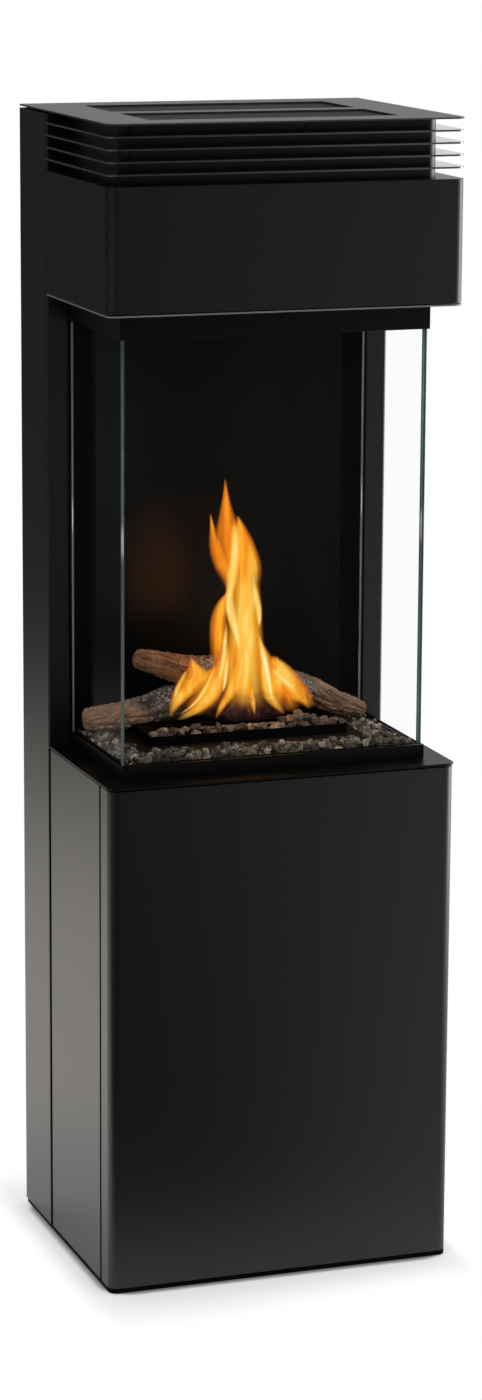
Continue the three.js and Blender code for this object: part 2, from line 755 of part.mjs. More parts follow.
// Ceramic logs. A log is a row of rings along a smooth axis; a ring's radius follows the sizes
// given at the axis points and swells and narrows a little round the log.
function log(stations, grow = 0) {
  const axis = new THREE.CatmullRomCurve3(stations.map(([x, y, z]) => new THREE.Vector3(x, y, z)));
  const positions = [];
  const index = [];
  const up = new THREE.Vector3(0, 0, 1);
  for (let ring = 0; ring <= logRings; ring += 1) {
    const share = ring / logRings;
    const centre = axis.getPoint(share);
    const along = axis.getTangent(share);
    const across = new THREE.Vector3().crossVectors(along, up).normalize();
    const over = new THREE.Vector3().crossVectors(across, along);
    const place = share * (stations.length - 1);
    const before = Math.min(Math.floor(place), stations.length - 2);
    const mix = place - before;
    const radius = stations[before][3] * (1 - mix) + stations[before + 1][3] * mix;
    for (let side = 0; side < logSides; side += 1) {
      const angle = (2 * Math.PI * side) / logSides;
      const rugged = 1 + logRuggedShare * Math.sin(3 * angle + 5 * share) * Math.cos(9 * share);
      const reach = radius * rugged + grow;
      const point = centre.clone();
      point.addScaledVector(across, reach * Math.cos(angle));
      point.addScaledVector(over, reach * Math.sin(angle));
      positions.push(point.x, point.y, point.z);
    }
  }
  const at = (ring, side) => ring * logSides + (side % logSides);
  for (let ring = 0; ring < logRings; ring += 1) {
    for (let side = 0; side < logSides; side += 1) {
      index.push(at(ring, side), at(ring + 1, side), at(ring, side + 1));
      index.push(at(ring + 1, side), at(ring + 1, side + 1), at(ring, side + 1));
    }
  }
  const ends = [axis.getPoint(0), axis.getPoint(1)];
  for (const end of ends) positions.push(end.x, end.y, end.z);
  const first = (logRings + 1) * logSides;
  for (let side = 0; side < logSides; side += 1) {
    index.push(first, at(0, side), at(0, side + 1));
    index.push(first + 1, at(logRings, side + 1), at(logRings, side));
  }
  const geometry = new THREE.BufferGeometry();
  geometry.setAttribute("position", new THREE.Float32BufferAttribute(positions, 3));
  geometry.setIndex(index);
  return geometry;
}

// The logs' stations: X as a share of the glass frame's inner half width, then as shares of a log's
// girth the distance before the deck's back, the axis's height over the burner's top, and the radius.
const leftLogShares = [
  [-0.996, 0.4925, 0.1, 0.3375],
  [-0.75, 0.5675, 0.2, 0.4],
  [-0.372, 0.7175, 0.525, 0.5375],
  [-0.264, 0.7425, 0.5, 0.45],
];
const backLogShares = [
  [-0.672, 0.7925, 1.9, 0.275],
  [-0.342, 0.9175, 1.4625, 0.45],
  [-0.03, 0.9675, 1.425, 0.4],
  [0.276, 1.0675, 1.3, 0.3375],
];
const rightLogShares = [
  [0.966, 0.9675, -0.025, 0.2125],
  [0.708, 1.1675, 0.325, 0.375],
  [0.504, 1.2925, 0.75, 0.4],
  [0.36, 1.4175, 1.075, 0.3625],
];

// The stations of a log in millimetres, from its table of shares.
function logStations(shares) {
  return shares.map(([x, y, rise, radius]) => [
    x * frameInnerX,
    deckBackY - y * logGirth,
    burnerTop + rise * logGirth,
    radius * logGirth,
  ]);
}

function addLogs() {
  const [left, back, right] = [leftLogShares, backLogShares, rightLogShares].map(logStations);
  const seat = block(
    [-burnerHalf - fit, burnerHalf + fit],
    [burnerFrontY - fit, burnerRearY + fit],
    [burnerBottom - overrun, burnerTop + fit],
  );
  place("log_left", cut(log(left), seat), bark());
  place("log_back", cut(log(back), log(left, fit)), ash());
  place("log_right", cut(log(right), seat, log(back, fit)), bark());
}

// Hood: a bottom plate, an inner box that carries the front and the louvres, and a baffle
const flueHalf = frameInnerX - flueInset;
const flueFrontY = frameInnerY + flueFrontInset;
const flueRearY = deckRearY - flueRearInset;
const baffleFrontY = hoodBoxFrontY + baffleFrontInset;
const baffleRearY = deckRearY - baffleRearInset;

function hoodBoxOutline(grow) {
  return outline(hoodBoxHalf + grow, hoodBoxFrontY - grow, hoodBoxRearY + grow, hoodBoxBend + grow);
}

function addHood() {
  const plate = cut(
    raise(outline(half, frontY, deckRearY, bend), hoodBottom, hoodPlateTop),
    block([-flueHalf, flueHalf], [flueFrontY, flueRearY], [hoodBottom - overrun, hoodPlateTop + overrun]),
  );
  place("hood_bottom_plate", plate, blackPowder());
  const boxHeights = [hoodPlateTop + fit, topUnderside - fit];
  const box = cut(
    raise(hoodBoxOutline(0), ...boxHeights),
    raise(hoodBoxOutline(-steel), boxHeights[0] - overrun, boxHeights[1] + overrun),
  );
  place("hood_inner_box", box, blackSheen());
  const fascia = cut(
    raise(outline(half, frontY, deckRearY, bend), fasciaBottom, fasciaTop),
    raise(
      outline(half - steel, frontY + steel, deckRearY + overrun, bend - steel),
      fasciaBottom + steel,
      fasciaTop - steel,
    ),
    block(
      [-half + steel + fasciaFlange, half - steel - fasciaFlange],
      [frontY + steel + fasciaFlange, deckRearY + overrun],
      [fasciaBottom - overrun, fasciaBottom + overrun],
    ),
    raise(hoodBoxOutline(fit), fasciaTop - overrun, fasciaTop + overrun),
  );
  place("hood_fascia", fascia, blackPowder());
  for (let number = 1; number <= louvreCount; number += 1) {
    const upper = fasciaTop + number * louvrePitch;
    const lower = upper - louvreThickness;
    const louvre = cut(
      raise(outline(half, frontY, deckRearY, bend), lower, upper),
      raise(hoodBoxOutline(fit), lower - overrun, upper + overrun),
    );
    place(`louvre_plate_${number}`, louvre, blackSheen());
  }
  const baffleHalf = hoodBoxHalf - steel - fit;
  const baffleBottom = hoodPlateTop + baffleRise;
  const baffleHeights = [baffleBottom, baffleBottom + baffleFlange];
  const baffle = cut(
    block([-baffleHalf, baffleHalf], [baffleFrontY, baffleRearY], baffleHeights),
    block(
      [-baffleHalf + steel, baffleHalf - steel],
      [baffleFrontY - overrun, baffleRearY + overrun],
      [baffleBottom + steel, baffleHeights[1] + overrun],
    ),
  );
  place("heat_baffle", baffle, zinc());
}

// Top plate with two slots, each closed by a dark mesh that lies against its underside
const slotHalf = half - slotInset;
const slotLength = (depth - slotBar) / 2 - slotEdge;

function slotHole(y0, y1, z0, z1) {
  return raise(outline(slotHalf, y0, y1, slotCorner, slotCorner), z0, z1);
}

function meshInsert(y0, y1) {
  const meshTop = topUnderside - fit;
  const [z0, z1] = [meshTop - meshThickness, meshTop];
  const sheetShape = outline(slotHalf + meshRim, y0 - meshRim, y1 + meshRim, slotCorner, slotCorner);
  const reach = slotHalf - slotCorner;
  const gapWidth = strandPitch - strandWidth;
  const count = Math.floor((2 * reach - strandLean - gapWidth) / strandPitch) + 1;
  const pattern = (count - 1) * strandPitch + gapWidth + strandLean;
  const gaps = [];
  for (let number = 0; number < count; number += 1) {
    const x = -pattern / 2 + number * strandPitch;
    const gap = new THREE.Shape();
    gap.moveTo(x, y0 + slotCorner);
    gap.lineTo(x + gapWidth, y0 + slotCorner);
    gap.lineTo(x + gapWidth + strandLean, y1 - slotCorner);
    gap.lineTo(x + strandLean, y1 - slotCorner);
    gaps.push(raise(gap, z0 - overrun, z1 + overrun));
  }
  return cut(raise(sheetShape, z0, z1), ...gaps);
}

function addTop() {
  const slots = [
    ["front", -slotBar / 2 - slotLength, -slotBar / 2],
    ["rear", slotBar / 2, slotBar / 2 + slotLength],
  ];
  let plate = raise(outline(half, frontY, rearY, bend, columnBend), topUnderside, top);
  for (const [row, y0, y1] of slots) {
    plate = cut(plate, slotHole(y0, y1, topUnderside - overrun, top + overrun));
    place(`top_mesh_${row}`, meshInsert(y0, y1), liningBlack());
  }
  place("top_plate", plate, greySheen());
}

const door = new THREE.Group();
const liftingGlass = new THREE.Group();
const slidingShutter = new THREE.Group();
part.add(door, liftingGlass, slidingShutter);

addBase();
addColumn();
addCabinet();
addDoor(door);
addHinges(door);
addLatch(door);
addSlab();
addGlass(liftingGlass);
addFireboxBack();
addDeck();
addTank();
addBurnerFrame();
addShutter(slidingShutter);
addGravel();
addLogs();
addHood();
addTop();

export default part;
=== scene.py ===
"""Looks of the free-standing bioethanol fireplace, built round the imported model.

Metres, +Z up, -Y to the front. Sheet metal and glass keep the CAD's shape and get rounded edges.
Logs and flame are surfaces over two parameters, stones are balls cut by planes, and the strands
of the mesh are cut lines, all worked out as whole numpy arrays.
"""
import json
import math

import bmesh
import bpy
import numpy as np
from mathutils import Matrix, Vector


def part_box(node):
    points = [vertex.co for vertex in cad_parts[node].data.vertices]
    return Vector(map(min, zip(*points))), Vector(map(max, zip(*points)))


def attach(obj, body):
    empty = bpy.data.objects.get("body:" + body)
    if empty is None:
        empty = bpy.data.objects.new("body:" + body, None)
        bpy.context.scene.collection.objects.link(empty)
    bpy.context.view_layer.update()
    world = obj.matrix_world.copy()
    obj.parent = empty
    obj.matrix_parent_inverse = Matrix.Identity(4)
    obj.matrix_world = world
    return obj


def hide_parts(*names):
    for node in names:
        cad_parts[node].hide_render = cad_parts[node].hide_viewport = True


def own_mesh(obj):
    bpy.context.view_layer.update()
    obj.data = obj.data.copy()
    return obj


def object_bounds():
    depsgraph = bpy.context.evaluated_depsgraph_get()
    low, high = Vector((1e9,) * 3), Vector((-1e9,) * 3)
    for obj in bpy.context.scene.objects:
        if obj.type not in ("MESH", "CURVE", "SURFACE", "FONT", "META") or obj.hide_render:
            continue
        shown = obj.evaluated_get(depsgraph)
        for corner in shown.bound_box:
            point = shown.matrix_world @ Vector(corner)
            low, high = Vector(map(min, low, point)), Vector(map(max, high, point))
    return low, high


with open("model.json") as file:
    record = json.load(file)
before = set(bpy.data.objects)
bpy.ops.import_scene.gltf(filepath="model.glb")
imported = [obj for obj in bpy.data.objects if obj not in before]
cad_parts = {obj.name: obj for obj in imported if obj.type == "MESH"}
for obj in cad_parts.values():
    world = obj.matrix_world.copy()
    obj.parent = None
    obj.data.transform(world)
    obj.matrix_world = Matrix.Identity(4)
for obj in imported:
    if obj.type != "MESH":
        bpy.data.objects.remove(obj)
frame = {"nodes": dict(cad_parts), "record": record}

CAD_BOX = [list(corner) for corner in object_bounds()]

MM = 0.001
X, Y, Z = 0, 1, 2
NODES = frame["nodes"]


def low(node, axis):
    """Where the node begins along that axis."""
    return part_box(node)[0][axis]


def high(node, axis):
    """Where the node ends along that axis."""
    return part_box(node)[1][axis]


# Camera: place, turn and lens of the photograph, whose long side is 1400 pixels
CAMERA_PLACE = Vector((-1434.4, -4053.5, 1568.3)) * MM
CAMERA_AZIMUTH = math.radians(-19.565)
CAMERA_DOWN = math.radians(12.41)
CAMERA_ROLL = math.radians(0.325)
LENS = 101.38
SENSOR = 36.0
NEAREST, FURTHEST = 0.1, 100.0


def add_camera():
    """Looks along +Y, rolled about its own axis, tilted down and turned about the upright."""
    data = bpy.data.cameras.new("camera")
    data.lens = LENS
    data.sensor_width = SENSOR
    data.clip_start = NEAREST
    data.clip_end = FURTHEST
    camera = bpy.data.objects.new("camera", data)
    turn = (
        Matrix.Rotation(CAMERA_AZIMUTH, 4, "Z")
        @ Matrix.Rotation(math.pi / 2 - CAMERA_DOWN, 4, "X")
        @ Matrix.Rotation(CAMERA_ROLL, 4, "Z")
    )
    camera.matrix_world = Matrix.Translation(CAMERA_PLACE) @ turn
    bpy.context.scene.collection.objects.link(camera)
    bpy.context.scene.camera = camera


# Node trees in short form
class Tree:
    """A material's or the world's nodes. add() makes a node, sets its values and joins its inputs.
    Most other methods add one node and return its output."""

    def __init__(self, owner):
        owner.use_nodes = True
        self.tree = owner.node_tree
        self.tree.nodes.clear()

    def add(self, kind, inputs=None, **settings):
        node = self.tree.nodes.new(kind)
        for key, value in settings.items():
            setattr(node, key, value)
        for key, value in (inputs or {}).items():
            self.join(node.inputs[key], value)
        return node

    def join(self, socket, value):
        if isinstance(value, bpy.types.NodeSocket):
            self.tree.links.new(value, socket)
        else:
            socket.default_value = value

    def coords(self, which="Object"):
        return self.add("ShaderNodeTexCoord").outputs[which]

    def split(self, place):
        """The outputs X, Y and Z of a place."""
        return self.add("ShaderNodeSeparateXYZ", {0: place}).outputs

    def attribute(self, name):
        return self.add("ShaderNodeAttribute", attribute_name=name).outputs["Fac"]

    def rays(self):
        return self.add("ShaderNodeLightPath").outputs

    def noise(self, place, scale, detail=2.0, stretch=None, rough=0.5):
        if stretch:
            place = self.add("ShaderNodeMapping", {"Vector": place, "Scale": stretch}).outputs[0]
        inputs = {"Vector": place, "Scale": scale, "Detail": detail, "Roughness": rough}
        return self.add("ShaderNodeTexNoise", inputs).outputs["Fac"]

    def ramp(self, value, stops):
        """A colour for each value: stops are (place, colour) pairs in rising order."""
        node = self.add("ShaderNodeValToRGB", {"Fac": value})
        elements = node.color_ramp.elements
        while len(elements) < len(stops):
            elements.new(0.5)
        for element, (place, colour) in zip(elements, stops):
            element.position = place
            element.color = (*colour, 1.0)
        return node.outputs["Color"]

    def map(self, value, from_low, from_high, to_low=0.0, to_high=1.0, smooth=False):
        inputs = {
            "Value": value,
            "From Min": from_low,
            "From Max": from_high,
            "To Min": to_low,
            "To Max": to_high,
        }
        kind = "SMOOTHSTEP" if smooth else "LINEAR"
        return self.add("ShaderNodeMapRange", inputs, interpolation_type=kind).outputs[0]

    def math(self, operation, first, second=0.5, clamp=False):
        node = self.add("ShaderNodeMath", {0: first, 1: second}, operation=operation, use_clamp=clamp)
        return node.outputs[0]

    def times(self, product, *others):
        for other in others:
            product = self.math("MULTIPLY", product, other)
        return product

    def plus(self, total, *others):
        for other in others:
            total = self.math("ADD", total, other)
        return total

    def rest_of(self, share):
        """What a share leaves of 1."""
        return self.math("SUBTRACT", 1.0, share)

    def off(self, value, middle):
        """How far a value is from the middle, either way."""
        return self.math("ABSOLUTE", self.math("SUBTRACT", value, middle))

    def vector(self, operation, first, second=(0.0, 0.0, 0.0), output="Vector"):
        """A step of vector arithmetic. SCALE takes a number second, and LENGTH and DOT_PRODUCT give
        the output Value."""
        inputs = {0: first, "Scale" if operation == "SCALE" else 1: second}
        return self.add("ShaderNodeVectorMath", inputs, operation=operation).outputs[output]

    def length(self, first):
        return self.vector("LENGTH", first, output="Value")

    def dot(self, first, second):
        return self.vector("DOT_PRODUCT", first, second, output="Value")

    def mix(self, factor, first, second):
        """The first colour where the factor is 0, the second where it is 1."""
        node = self.add("ShaderNodeMix", data_type="RGBA")
        for place, value in ((0, factor), (6, first), (7, second)):
            self.join(node.inputs[place], (*value, 1.0) if isinstance(value, tuple) else value)
        return node.outputs[2]

    def bump(self, height, strength, distance):
        inputs = {"Height": height, "Strength": strength, "Distance": distance}
        return self.add("ShaderNodeBump", inputs).outputs[0]

    def glow(self, colour):
        colour = (*colour, 1.0) if isinstance(colour, tuple) else colour
        return self.add("ShaderNodeEmission", {"Color": colour, "Strength": 1.0}).outputs[0]

    def shader(self, **values):
        inputs = {key.replace("_", " "): value for key, value in values.items()}
        return self.add("ShaderNodeBsdfPrincipled", inputs).outputs[0]

    def blend(self, factor, first, second):
        """The first shader where the factor is 0, the second where it is 1."""
        return self.add("ShaderNodeMixShader", {0: factor, 1: first, 2: second}).outputs[0]

    def finish(self, surface, kind="ShaderNodeOutputMaterial"):
        self.add(kind, {"Surface": surface})


def material(name):
    made = bpy.data.materials.new(name)
    return made, Tree(made)


def scaled(colour, share):
    return tuple(part * share for part in colour)


# Finishes of the metal. Scales of noise are per metre, and most of its values lie in the band.
BAND = (0.3, 0.7)
SEAMS = (
    (high("cabinet_door", Y), low("left_side_panel", Y)),
    (high("left_side_panel", Y), low("rear_cover", Y)),
)
# Width of the painted shade on a hem beside each seam's gap, its fade, and its tone
HEM = 0.95 * MM
HEM_FADE = 0.5 * MM
SEAM_SHADE_PAINT = (0.0005, 0.0005, 0.0005)


def painted_seam_shade(tree, place):
    """Painted shade: 1 on the folded hems along the cabinet's upright seams, where shade falls: no
    further from a seam's middle than half its gap and a hem, and below the door's top."""
    split = tree.split(place)
    shade = 0.0
    for front, rear in SEAMS:
        reach = (rear - front) / 2 + HEM
        near = tree.map(tree.off(split["Y"], (front + rear) / 2), reach + HEM_FADE, reach)
        shade = tree.math("MAXIMUM", shade, near)
    return tree.times(shade, tree.math("LESS_THAN", split["Z"], high("cabinet_door", Z)))


COAT_SPECK, COAT_GRAIN = 1500.0, 800.0
COAT_RELIEF = 0.25 * MM
COAT_UNEVEN = 0.02
COAT_SHARES = (0.7, 1.4)
GLOSS_IOR, GLOSS_ROUGHNESS = 2.4, 0.15


def powder_coat(name, colour, roughness, shine, grain=0.25, gloss=0.0, seams=False):
    """Baked powder coat: a fine orange-peel grain of about a millimetre, even over the sheet. With seams,
    the hems along the cabinet's upright seams get painted shade.
    """
    made, tree = material(name)
    place = tree.coords()
    speck = tree.noise(place, COAT_SPECK, 1.0)
    grains = tree.noise(place, COAT_GRAIN, 2.0)
    tone = tree.ramp(speck, [(value, scaled(colour, share)) for value, share in zip(BAND, COAT_SHARES)])
    rough = tree.map(grains, *BAND, roughness - COAT_UNEVEN, roughness + COAT_UNEVEN)
    normal = tree.bump(grains, grain, COAT_RELIEF)
    if seams:
        # Painted shade on the hems along the seams: near black, rough and without shine
        shade = painted_seam_shade(tree, place)
        tone = tree.mix(shade, tone, SEAM_SHADE_PAINT)
        rough = tree.math("MAXIMUM", rough, shade)
        shine = tree.map(shade, 0.0, 1.0, shine, 0.0)
    tree.finish(tree.shader(Base_Color=tone, Roughness=rough, Specular_IOR_Level=shine, Normal=normal,
                            Coat_Weight=gloss, Coat_IOR=GLOSS_IOR, Coat_Roughness=GLOSS_ROUGHNESS))
    return made


BRUSH_SCALE, TARNISH_SCALE = 60.0, 9.0
BRUSH_RELIEF, BRUSH_STRENGTH = 0.1 * MM, 0.12
BRUSH_UNEVEN = (-0.08, 0.1)
TARNISH_SHARE = 0.85


def bare_metal(name, colour, roughness, brushed):
    """Plated or brushed sheet: fine lines along one axis in its roughness and its relief."""
    made, tree = material(name)
    place = tree.coords()
    lines = tree.noise(place, BRUSH_SCALE, 4.0, stretch=brushed)
    tarnish = tree.noise(place, TARNISH_SCALE, 2.0)
    tone = tree.ramp(tarnish, list(zip(BAND, (scaled(colour, TARNISH_SHARE), colour))))
    rough = tree.map(lines, *BAND, *(roughness + step for step in BRUSH_UNEVEN))
    normal = tree.bump(lines, BRUSH_STRENGTH, BRUSH_RELIEF)
    tree.finish(tree.shader(Base_Color=tone, Metallic=1.0, Roughness=rough, Normal=normal))
    return made


FIBRE_SHARE, FIBRE_STRENGTH = 0.7, 0.4


def soft_finish(name, colour, roughness, scale, relief):
    """Rubber or wool: a matt surface with an even fibrous or moulded relief."""
    made, tree = material(name)
    fibres = tree.noise(tree.coords(), scale, 5.0)
    tone = tree.ramp(fibres, list(zip(BAND, (scaled(colour, FIBRE_SHARE), colour))))
    normal = tree.bump(fibres, FIBRE_STRENGTH, relief)
    tree.finish(tree.shader(Base_Color=tone, Roughness=roughness, Specular_IOR_Level=0.2, Normal=normal))
    return made


HEAT_STREAK, LINING_GRAIN = 16.0, 900.0
LINING_RELIEF = 0.2 * MM
LINING_SHARES = ((0.35, 0.6), (0.7, 1.5))
LINING_ROUGHNESS = (0.5, 0.68)
STREAK_UPRIGHT = (1.0, 1.0, 0.08)
# A brown patch of painted flame reflection on the liner, the liner darker low down, and painted shade
# towards its right edge
FLAME_REFLECTION_PLACE = (-0.074, 0.057, 0.762)
FLAME_REFLECTION_REACH = (0.052, 0.05, 0.10)
FLAME_REFLECTION_TONE = (0.017, 0.0055, 0.002)
LOW_DARK_TOP, LOW_DARK_FULL = 0.75, 0.69
LOW_DARK_AND_SHADE_TONE = (0.0008, 0.0005, 0.0004)
SHADED_FROM = 0.08
SHADED_SHARE = 0.75


def painted_reflection_and_shade(tree, place, tone):
    """Painted light and shade on the tone: a broad brown patch of painted flame reflection, which fades
    out at its reach, darker low on the sheet, and painted shade towards its right edge."""
    # Painted reflection of the flame: a brown patch on the liner left of the flame
    off = tree.vector("SUBTRACT", place, FLAME_REFLECTION_PLACE)
    off = tree.length(tree.vector("DIVIDE", off, FLAME_REFLECTION_REACH))
    tone = tree.mix(tree.map(off, 1.0, 0.2, smooth=True), tone, FLAME_REFLECTION_TONE)
    split = tree.split(place)
    low_dark = tree.map(split["Z"], LOW_DARK_TOP, LOW_DARK_FULL, smooth=True)
    # Painted shade towards the liner's right edge
    right = high("firebox_back_liner", X)
    shaded = tree.map(split["X"], SHADED_FROM, right, 0.0, SHADED_SHARE, smooth=True)
    return tree.mix(tree.math("MAXIMUM", low_dark, shaded), tone, LOW_DARK_AND_SHADE_TONE)


def lining(name, colour, shine=0.12, marked=False):
    """Matt black lining sheet of the firebox: faint upright streaks of heat over a fine grain, and where
    asked painted flame reflection, painted shade towards its right edge and a darker low part."""
    made, tree = material(name)
    place = tree.coords()
    streak = tree.noise(place, HEAT_STREAK, 3.0, stretch=STREAK_UPRIGHT)
    tone = tree.ramp(streak, [(value, scaled(colour, share)) for value, share in LINING_SHARES])
    rough = tree.map(streak, *BAND, *LINING_ROUGHNESS)
    normal = tree.bump(tree.noise(place, LINING_GRAIN, 2.0), 0.2, LINING_RELIEF)
    if marked:
        tone = painted_reflection_and_shade(tree, place, tone)
    tree.finish(tree.shader(Base_Color=tone, Roughness=rough, Specular_IOR_Level=shine, Normal=normal))
    return made


# Stage: a pale floor that fades to the white background
WHITE = (1.0, 1.0, 1.0)
FLOOR_SIZE = 60.0
FLOOR_COLOUR = (0.88, 0.88, 0.88)
FLOOR_GLOW = (1.0, 0.955, 0.89)

# The soft shadow round the foot is partly painted: the matt floor there is really lit and shaded, and a
# mask fades it into plain white. It reaches less far to the sides, and least to the right
SHADOW_REACH = 0.12
SHADOW_PALE = 0.38
SHADOW_STRETCH = (3.0, 1.0, 1.0)
SHADOW_LEFT, SHADOW_RIGHT = -0.1, 0.22
SHADOW_DRAWN_IN = 1.7

# The painted dark line of shadow where the foot meets the floor has round corners, a bend inside the
# foot's edge
CONTACT_BEND = 0.034
CONTACT_REACH, CONTACT_INSIDE = 0.008, 0.002
CONTACT_SHADOW_SHARE = 0.75
CONTACT_SHADOW_PAINT = (0.05, 0.045, 0.042)

# What polished metal mirrors of the stage: pairs are the places between which a change happens
BRIGHT_SIDE = (0.94, 0.34, 0.0)
BRIGHT_FLOOR = (0.02, 0.5)
DARK_COURSE = (0.6, 0.2)
DARK_FAR = (0.9, 3.4)
DARK_AHEAD = (0.0, -0.52)
DUSK_COURSE = (1.0, 0.355, 0.0)
DUSK_SPAN = (-0.5, 1.5)
DUSK_TONES = ((0.18, (0.0, 0.0, 0.0)), (0.42, (0.5, 0.48, 0.45)), (0.8, (1.0, 0.97, 0.93)))
DUSK_FADE, DUSK_REST = (0.6, 4.5), 0.35
GLOOM_FADE, GLOOM_NEAR, GLOOM_FAR = (0.3, 1.5), 0.06, 0.02
GLOOM_BEHIND = 0.03
FAR_LEFT, FAR_LEFT_GLOOM = (-0.8, -2.4), 0.17


def stage_rays(tree):
    """1 for rays that see the plain background, which come from the camera or straight through
    glass, and 1 for the mirrored ones."""
    rays = tree.rays()
    straight = tree.math("LESS_THAN", rays["Glossy Depth"], 0.5)
    straight = tree.times(rays["Is Transmission Ray"], straight)
    return tree.math("MAXIMUM", rays["Is Camera Ray"], straight), rays["Is Glossy Ray"]


def outside(tree, place, half):
    """How far a place lies beyond a rectangle of that half width and half depth, for x and y."""
    beyond = tree.vector("SUBTRACT", tree.vector("ABSOLUTE", place), (*half, 0.0))
    return tree.vector("MAXIMUM", beyond, (0.0, 0.0, 0.0))


def dusk(tree, place, apart, ahead):
    """The dark part of the mirrored floor: ahead it brightens to the right by the tones along the
    dusk's course, less so further off, and everywhere it keeps a little gloom."""
    split = tree.split(place)
    tones = tree.ramp(tree.map(tree.dot(place, DUSK_COURSE), *DUSK_SPAN), DUSK_TONES)
    near = tree.times(ahead, tree.map(apart, *DUSK_FADE, 1.0, DUSK_REST))
    gloom = tree.plus(
        tree.map(apart, *GLOOM_FADE, GLOOM_NEAR, GLOOM_FAR),
        tree.map(ahead, 0.0, 1.0, GLOOM_BEHIND, 0.0),
        tree.times(ahead, tree.map(split["X"], *FAR_LEFT, 0.0, FAR_LEFT_GLOOM)),
    )
    return tree.glow(tree.vector("ADD", tree.vector("SCALE", tones, near), gloom))


def floor_material():
    """Matt at the object, plain white further off, with a painted dark line of shadow where the object
    meets it. Polished metal sees it bright near the object and behind it to the right, dark behind to the
    left and in front, less dark to the right."""
    made, tree = material("pale_floor")
    place = tree.coords()
    split = tree.split(place)
    seen, glossy = stage_rays(tree)
    foot = [max(abs(CAD_BOX[0][axis]), abs(CAD_BOX[1][axis])) for axis in (X, Y)]
    beyond = outside(tree, place, foot)
    apart = tree.length(beyond)

    # Painted shadow shape: a mask that mixes the lit matt floor into white, stretched along x and drawn
    # in to the right
    drawn_in = tree.map(split["X"], SHADOW_LEFT, SHADOW_RIGHT, 1.0, SHADOW_DRAWN_IN)
    shadow = tree.vector("SCALE", tree.vector("MULTIPLY", beyond, SHADOW_STRETCH), drawn_in)
    pale = tree.map(tree.length(shadow), 0.0, SHADOW_REACH, SHADOW_PALE, 1.0, smooth=True)
    bright = tree.times(glossy, tree.map(apart, *BRIGHT_FLOOR, smooth=True))
    matt = tree.add("ShaderNodeBsdfDiffuse", {"Color": (*FLOOR_COLOUR, 1.0)}).outputs[0]
    glow = tree.glow(tree.mix(seen, FLOOR_GLOW, WHITE))
    lit = tree.blend(tree.math("MAXIMUM", bright, tree.times(seen, pale)), matt, glow)

    course = tree.dot(tree.vector("NORMALIZE", place), BRIGHT_SIDE)
    ahead = tree.map(split["Y"], *DARK_AHEAD, smooth=True)
    far = tree.times(tree.map(apart, *DARK_FAR, smooth=True), tree.map(course, *DARK_COURSE, smooth=True))
    dark = tree.times(glossy, tree.math("MAXIMUM", far, ahead), tree.rest_of(seen))
    lit = tree.blend(dark, lit, dusk(tree, place, apart, ahead))

    # Painted shadow: a dark line where the foot meets the floor
    close = tree.length(outside(tree, place, [half - CONTACT_BEND for half in foot]))
    close = tree.map(close, CONTACT_BEND + CONTACT_REACH, CONTACT_BEND - CONTACT_INSIDE,
                     0.0, CONTACT_SHADOW_SHARE, smooth=True)
    tree.finish(tree.blend(tree.times(seen, close), lit, tree.glow(CONTACT_SHADOW_PAINT)))
    return made


def add_floor():
    """A level square about the origin."""
    half = FLOOR_SIZE / 2
    corners = np.array([(-half, -half, 0), (half, -half, 0), (half, half, 0), (-half, half, 0)])
    floor = new_object("studio_floor", corners, [(0, 1, 2, 3)])
    floor.data.materials.append(floor_material())


# World: pairs are again the places between which a change happens
FILL = (0.42, 0.42, 0.43)
MIRRORED_WHITE = (0.95, 0.95, 0.97)
BRIGHT_COURSE = (0.2, 0.65)
LOW_BAND, DIMMER_ABOVE = (0.04, 0.3), 0.45
DARK_BAND = (-0.85, 0.35)
DARK_FRONT, DARK_BEHIND = (0.004, 0.004, 0.004), (0.055, 0.053, 0.048)


def add_world():
    """White to the camera and straight through glass. Polished surfaces see white low to the right
    and behind it, dimmer above, and a dark studio in front, a little less dark behind to the left.
    Everything else gets an even fill."""
    world = bpy.data.worlds.new("studio")
    bpy.context.scene.world = world
    tree = Tree(world)
    seen = stage_rays(tree)[0]
    way = tree.coords("Generated")
    split = tree.split(way)
    side = tree.map(tree.dot(way, BRIGHT_SIDE), *BRIGHT_COURSE, smooth=True)
    bright = tree.times(side, tree.map(split["Z"], *LOW_BAND, 1.0, DIMMER_ABOVE, smooth=True))
    dark = tree.mix(tree.map(split["Y"], *DARK_BAND), DARK_FRONT, DARK_BEHIND)
    mirrored = tree.mix(bright, dark, MIRRORED_WHITE)
    plain = tree.mix(tree.rays()["Is Diffuse Ray"], mirrored, FILL)
    colour = tree.mix(seen, plain, WHITE)
    background = tree.add("ShaderNodeBackground", {"Color": colour, "Strength": 1.0})
    tree.finish(background.outputs[0], "ShaderNodeOutputWorld")


# Lamps
LAMPS = (
    # name, place, aimed at, size, power, colour
    ("key_left", (-1.6, -1.9, 2.6), (0, 0, 0.6), 1.6, 42.0, (1.0, 0.98, 0.96)),
    ("fill_right", (2.2, -1.2, 1.6), (0, 0, 0.6), 1.4, 22.0, (0.97, 0.98, 1.0)),
    ("top", (0.2, 0.5, 3.0), (0, 0, 0.8), 1.8, 30.0, (1.0, 1.0, 1.0)),
)
FLAME_LAMP_PLACE = (0.0, -0.02, 0.70)
FLAME_LAMP_RADIUS = 0.03
FLAME_LAMP_POWER = 0.6
FLAME_LAMP_COLOUR = (1.0, 0.5, 0.16)
EDGE_LAMP_PLACE = (1.7, -0.3, 1.02)
EDGE_LAMP_SIZE = (1.1, 1.96)
EDGE_LAMP_POWER = 25.0


